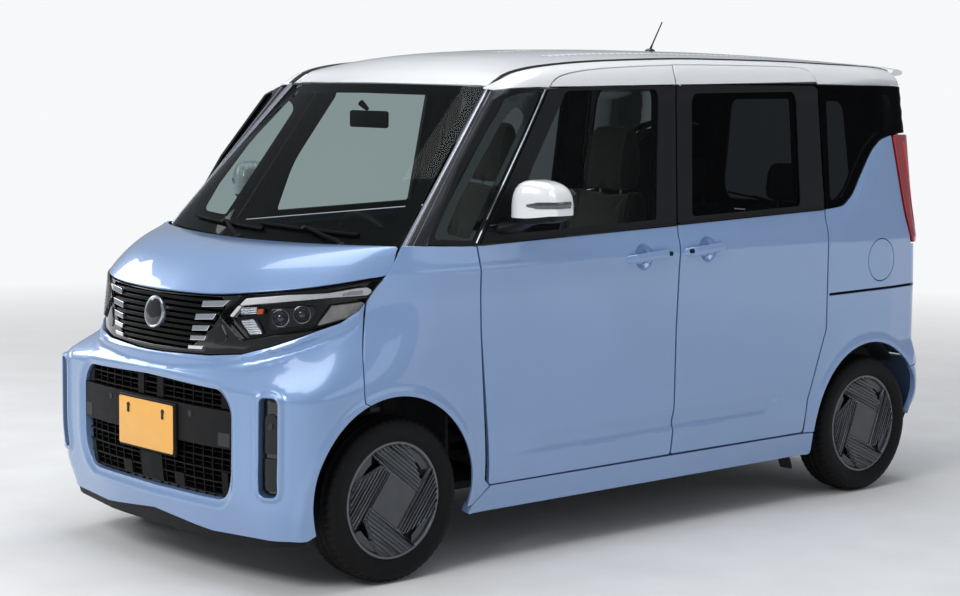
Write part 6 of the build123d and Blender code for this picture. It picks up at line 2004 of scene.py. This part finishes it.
for kind, line, widths, thick, bolster, split, cross, ends in PADS:
    rows = pad_base(line, widths, thick, bolster, *ends)
    seams = [across(split)] + [at_height(axis, value, split) for axis, value in cross]
    small = "headrest" in kind
    front = kind.startswith("front")
    me = stuffed(kind, rows, seams, 0.0065 if small else (0.0076 if front else 0.0085),
        cap_move=0.010 if small else 0.022)
    x0 = 0.340 if front else 0.266
    (_, y0, z0), (_, y1, z1) = rows.reshape(-1, 3).min(0), rows.reshape(-1, 3).max(0)
    if kind.endswith("cushion"):
        seam = [(y0 - 0.02, z1 - 0.06), (y0 + 0.02, z1 + 0.02), (y1 - 0.04, z1 + 0.02)]
    else:
        seam = [(y0 - 0.03, z0 + 0.03), ((y0 + y1) / 2 - 0.05, (z0 + z1) / 2), (y1 - 0.10, z1 - 0.01),
            (y1 - 0.05, z1 + 0.02)]
    for x, side in ((x0, "left"), (-x0, "right")):
        o = place_pad(f"{kind}_{side}", me, split, x)
        if kind == "front_cushion" and side == "left":
            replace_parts(o, "front_seats")
        if kind == "rear_cushion" and side == "left":
            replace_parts(o, "rear_seat")
        if small:
            y0 = 0.192 if front else 1.338
            z0, z1 = (1.150, 1.280) if front else (1.085, 1.20)
            for j, dx in enumerate((-0.055, 0.055)):
                tube(f"{kind}_post_{side}_{j}", [(x + dx, y0 - 0.004, z0), (x + dx, y0, (z0 + z1) / 2),
                        (x + dx, y0 + 0.004, z1)], 0.0058, "satin_chrome", slot="seat_cloth", sides=10)
        else:
            for sign, end in ((-1, "a"), (1, "b")):
                piping(f"{kind}_piping_{side}_{end}", me, [(sign * split, y, z) for y, z in seam], x)
        if kind == "front_cushion":
            cabin(f"front_seat_base_{side}", (x - 0.205, -0.43, 0.335), (x + 0.205, 0.06, 0.425),
                "trim_dark", 0.02)
            for j, dx in enumerate((-0.165, 0.165)):
                box_piece(f"front_seat_rail_{side}_{j}", (x + dx - 0.016, -0.46, 0.288),
                    (x + dx + 0.016, 0.10, 0.318), "steel", slot="underbody_steel", bevel=0.004)
                for y in (-0.38, 0.03):
                    box_piece(f"front_seat_foot_{side}_{j}_{'a' if y < 0 else 'b'}",
                        (x + dx - 0.012, y - 0.02, 0.310), (x + dx + 0.012, y + 0.02, 0.345), "steel",
                        slot="underbody_steel", bevel=0.004)
            outer = x + (0.232 if x > 0 else -0.232)
            lever = x + (0.246 if x > 0 else -0.246)
            cabin(f"front_seat_side_{side}", (outer - 0.014, -0.20, 0.36), (outer + 0.010, 0.13, 0.46),
                "trim_dark", 0.009)
            cabin(f"front_seat_lever_{side}", (lever - 0.004, -0.10, 0.405), (lever + 0.004, 0.02, 0.422),
                "plastic_grey", 0.003)
        if kind == "rear_cushion":
            cabin(f"rear_seat_base_{side}", (x - 0.225, 0.80, 0.292), (x + 0.225, 1.30, 0.480), "trim_dark",
                0.02)

# ---------------------------------------------------------------- dashboard
DASH = [(-0.957, 1.040), (-0.930, 1.062), (-0.860, 1.083), (-0.780, 1.088), (-0.712, 1.080),
    (-0.682, 1.066), (-0.668, 1.045), (-0.664, 1.015), (-0.672, 0.985), (-0.700, 0.965), (-0.706, 0.940),
    (-0.690, 0.925), (-0.672, 0.905), (-0.668, 0.870), (-0.690, 0.840), (-0.716, 0.800), (-0.724, 0.720),
    (-0.745, 0.655), (-0.800, 0.642), (-0.957, 0.700)]
dash_path = rounded([(y, z, 0.012) for y, z in DASH], step=0.012)
rows = []
for x in np.linspace(-0.588, 0.588, 65):
    e = (abs(x) / 0.588) ** 6
    rows.append([(x, y - 0.030 * e * (y > -0.80), z - 0.012 * e * (z > 1.0)) for y, z in dash_path])
db = loft("dashboard_body", rows, "trim_dark", slot="dash_plastic", closed_v=True, cap=True)
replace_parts(db, "dashboard")
for block in (("dash_garnish", (-0.575, -0.676, 0.952), (0.575, -0.662, 0.982), "trim_light", 0.006),
        ("instrument_hood", (-0.500, -0.800, 1.070), (-0.225, -0.690, 1.101), "trim_dark", 0.014, 4),
        ("instrument_screen", (-0.485, -0.691, 1.000), (-0.240, -0.662, 1.078), "gloss_black", 0.006),
        ("centre_screen", (-0.115, -0.672, 0.955), (0.115, -0.650, 1.092), "gloss_black", 0.007),
        ("centre_stack", (-0.130, -0.700, 0.820), (0.130, -0.655, 0.945), "gloss_black", 0.012),
        ("shift_base", (-0.165, -0.700, 0.770), (-0.085, -0.648, 0.900), "plastic_grey", 0.010)):
    cabin(*block)
tube("shift_lever", [(-0.125, -0.660, 0.840), (-0.125, -0.610, 0.850), (-0.125, -0.585, 0.856)],
    [0.007, 0.007, 0.006], "satin_chrome", slot="dash_plastic")
turned("shift_knob", [(-0.018, 0.012), (-0.012, 0.019), (0.004, 0.021), (0.016, 0.016), (0.021, 0.0003)],
    "plastic", (-0.125, -0.580, 0.857), (0, 1, 0.15), slot="dash_plastic")
for k, x in enumerate((-0.048, 0.0, 0.048)):
    turned(f"climate_knob_{k}", [(-0.004, 0.017), (0.010, 0.016), (0.013, 0.013), (0.0135, 0.0003)],
        "plastic_grey", (x, -0.655, 0.865), (0, 1, 0), slot="dash_plastic", sides=32)
for k, x in enumerate((-0.542, -0.172, 0.172, 0.542)):
    cabin(f"air_vent_frame_{k}", (x - 0.034, -0.676, 1.000), (x + 0.034, -0.656, 1.058), "gloss_black", 0.006)
    for j in range(4):
        cabin(f"air_vent_slat_{k}_{j}", (x - 0.028, -0.659, 1.008 + 0.012 * j),
            (x + 0.028, -0.653, 1.012 + 0.012 * j), "trim_dark", 0.001, 1)
for block in (("glove_box", (0.170, -0.722, 0.690), (0.540, -0.690, 0.835), "trim_dark", 0.010),
        ("glove_box_latch", (0.320, -0.693, 0.800), (0.390, -0.684, 0.818), "plastic_grey", 0.003),
        ("dash_tray", (0.165, -0.700, 0.905), (0.560, -0.658, 0.925), "trim_light", 0.006)):
    cabin(*block)
for k, (x0, x1) in enumerate(((-0.400, -0.345), (-0.300, -0.262))):
    cabin(f"pedal_{k}", (x0, -0.690, 0.340), (x1, -0.668, 0.410), "rubber", 0.005)
    tube(f"pedal_arm_{k}", [((x0 + x1) / 2, -0.685, 0.390), ((x0 + x1) / 2, -0.705, 0.50),
            ((x0 + x1) / 2, -0.730, 0.66)], 0.007, "steel", slot="underbody_steel", sides=8)

# Steering wheel: padded rim, hub and three spokes on a column
SW, SW_AXIS = np.array((-0.360, -0.400, 0.990)), unit(np.array((0, 0.86, 0.50)))
SW_X = np.array((1.0, 0, 0))
SW_UP = np.cross(SW_X, SW_AXIS)
if SW_UP[2] < 0:
    SW_UP = -SW_UP
turns = np.linspace(0, 2 * pi, 96, endpoint=False)
rim_pts = [SW + 0.1745 * (cos(a) * SW_X + sin(a) * SW_UP * (0.985 if sin(a) < 0 else 1.0)) for a in turns]
sw = tube("steering_rim", rim_pts, [0.0142 + 0.0012 * abs(cos(a)) ** 6 for a in turns], "trim_dark",
    slot="dash_plastic", sides=18, closed=True)
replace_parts(sw, "steering_wheel")
turned("steering_hub", [(-0.046, 0.030), (-0.040, 0.058), (-0.012, 0.070), (0.004, 0.068), (0.012, 0.060),
        (0.016, 0.045), (0.0172, 0.0004)], "trim_dark", SW - SW_AXIS * 0.010, SW_AXIS, slot="dash_plastic",
    sides=48)
turned("steering_hub_blank", [(0.0040, 0.020), (0.0085, 0.020), (0.0100, 0.018), (0.0095, 0.015),
        (0.0098, 0.0004)], "satin_chrome", SW, SW_AXIS, slot="dash_plastic")
for k, (a, w) in enumerate(((0, 0.019), (180, 0.019), (270, 0.022))):
    d = cos(a * DEG) * SW_X + sin(a * DEG) * SW_UP
    e = -sin(a * DEG) * SW_X + cos(a * DEG) * SW_UP
    rows = []
    for r, ww, h in ((0.055, w * 1.35, -0.008), (0.09, w, -0.010), (0.13, w * 0.85, -0.008),
            (0.168, w * 1.0, 0.0)):
        row = []
        for q in range(14):
            turn = 2 * pi * q / 14
            row.append(SW + d * r + e * ww * blunt(cos(turn), 0.6)
                + SW_AXIS * (h + 0.0085 * blunt(sin(turn), 0.6)))
        rows.append(row)
    loft(f"steering_spoke_{k}", rows, "plastic_grey", slot="dash_plastic", closed_v=True, cap=True)
tube("steering_column", [SW - SW_AXIS * 0.030, SW - SW_AXIS * 0.12, SW - SW_AXIS * 0.30],
    [0.030, 0.044, 0.048], "trim_dark", slot="dash_plastic", sides=24)
for k, sign in enumerate((-1, 1)):
    base = SW - SW_AXIS * 0.060
    tube(f"column_stalk_{k}", [base + SW_X * sign * 0.03, base + SW_X * sign * 0.09 + SW_UP * 0.01,
            base + SW_X * sign * 0.135 + SW_UP * 0.022], [0.007, 0.0075, 0.009], "plastic",
        slot="dash_plastic", sides=12)

# Inside mirror and sun visors
turned("inner_mirror_mount", [(-0.010, 0.012), (0.012, 0.010), (0.030, 0.007)], "plastic",
    (0, -0.755, 1.575), (0, 0.8, -0.6), slot="dash_plastic")
cabin("inner_mirror", (-0.105, -0.735, 1.490), (0.105, -0.712, 1.552), "plastic", 0.009)
box_piece("inner_mirror_glass", (-0.097, -0.7125, 1.497), (0.097, -0.7095, 1.545), "mirror",
    slot="window_glass", bevel=0.002)
for k, x in enumerate((-0.300, 0.300)):
    box_piece(f"sun_visor_{k}", (x - 0.175, -0.585, 1.655), (x + 0.175, -0.415, 1.672), "trim_light",
        slot="dash_plastic", bevel=0.007, segments=3, shear=lambda px, py,
        pz: (px, py, pz + 0.16 * (py + 0.5)))

# ---------------------------------------------------------------- finishes of the carried-over CAD parts
CARRIED = {"floor_pan": "under", "engine": "alloy", "knuckle_left": "cast", "knuckle_right": "cast",
    "rear_axle": "steel", "front_suspension": "steel", "exhaust": "exhaust_steel"}
for node, finish in CARRIED.items():
    for place in frame["nodes"][node].material_slots:
        place.material = M[finish]


# ---------------------------------------------------------------- floor and light
bpy.ops.mesh.primitive_plane_add(size=60, location=(0, 0, 0))
floor = bpy.context.object
floor.name = "floor"
t = Nodes("studio_floor")
tone = t.ramp(t.noise(3.0), srgb(222, 222, 222), srgb(228, 228, 228))
lit = t.add("BsdfPrincipled", Base_Color=tone, Roughness=0.85)
glow = t.add("Emission", Color=(0.93, 0.94, 0.95, 1), Strength=1.0)
reach = t.add("VectorMath", operation="LENGTH")
t.put(reach.inputs[0], t.add("TexCoord").outputs["Object"])
far = t.add("MapRange", Value=reach.outputs["Value"], From_Min=3.2, From_Max=9.0).outputs[0]
soft_edge = t.add("MixShader", Fac=far)
t.put(soft_edge.inputs[1], lit.outputs[0])
t.put(soft_edge.inputs[2], glow.outputs[0])
t.end(soft_edge.outputs[0])
floor.data.materials.append(t.mat)
floor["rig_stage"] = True

world = bpy.data.worlds.new("studio")
bpy.context.scene.world = world
world.use_nodes = True
wt = world.node_tree
wt.nodes.clear()


def world_node(kind, *inputs):
    """A node of the world's tree; each input is (place, value or output)."""
    n = wt.nodes.new("ShaderNode" + kind)
    for place, value in inputs:
        if isinstance(value, bpy.types.NodeSocket):
            wt.links.new(value, n.inputs[place])
        else:
            n.inputs[place].default_value = value
    return n


# The light on the object, what polished faces mirror, and the white that the camera sees
fill = world_node("Background", ("Color", (0.86, 0.90, 0.96, 1)), ("Strength", 0.40))
white = world_node("Background", ("Color", (0.93, 0.94, 0.95, 1)), ("Strength", 1.0))
path_node = world_node("LightPath")
soft_box = world_node("Background", ("Color", (0.84, 0.90, 1.0, 1)), ("Strength", 0.36))
lit_or_mirror = world_node("MixShader", (0, path_node.outputs["Is Glossy Ray"]), (1, fill.outputs[0]),
    (2, soft_box.outputs[0]))
seen = world_node("MixShader", (0, path_node.outputs["Is Camera Ray"]), (1, lit_or_mirror.outputs[0]),
    (2, white.outputs[0]))
world_node("OutputWorld", ("Surface", seen.outputs[0]))


def lamp(name, place, look, size, power, colour=(1, 1, 1)):
    """A rectangular studio light aimed at a point."""
    data = bpy.data.lights.new(name, "AREA")
    data.shape = "RECTANGLE"
    data.size, data.size_y = size
    data.energy = power
    data.color = colour
    o = bpy.data.objects.new(name, data)
    o.location = place
    o.rotation_euler = (Vector(look) - Vector(place)).to_track_quat("-Z", "Y").to_euler()
    LINKS.link(o)


lamp("key_light", (1.6, -6.4, 4.8), (0, -0.4, 0.6), (3.0, 2.4), 215)
lamp("top_light", (0.0, 0.2, 6.0), (0, 0, 0.8), (5.0, 5.0), 215)
lamp("side_light", (6.5, 2.5, 2.6), (0, 0.4, 0.8), (4.0, 1.6), 18, (0.92, 0.96, 1.0))
lamp("far_light", (-5.0, -2.5, 3.0), (0, 0, 0.8), (3.0, 2.0), 80)

low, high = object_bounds()
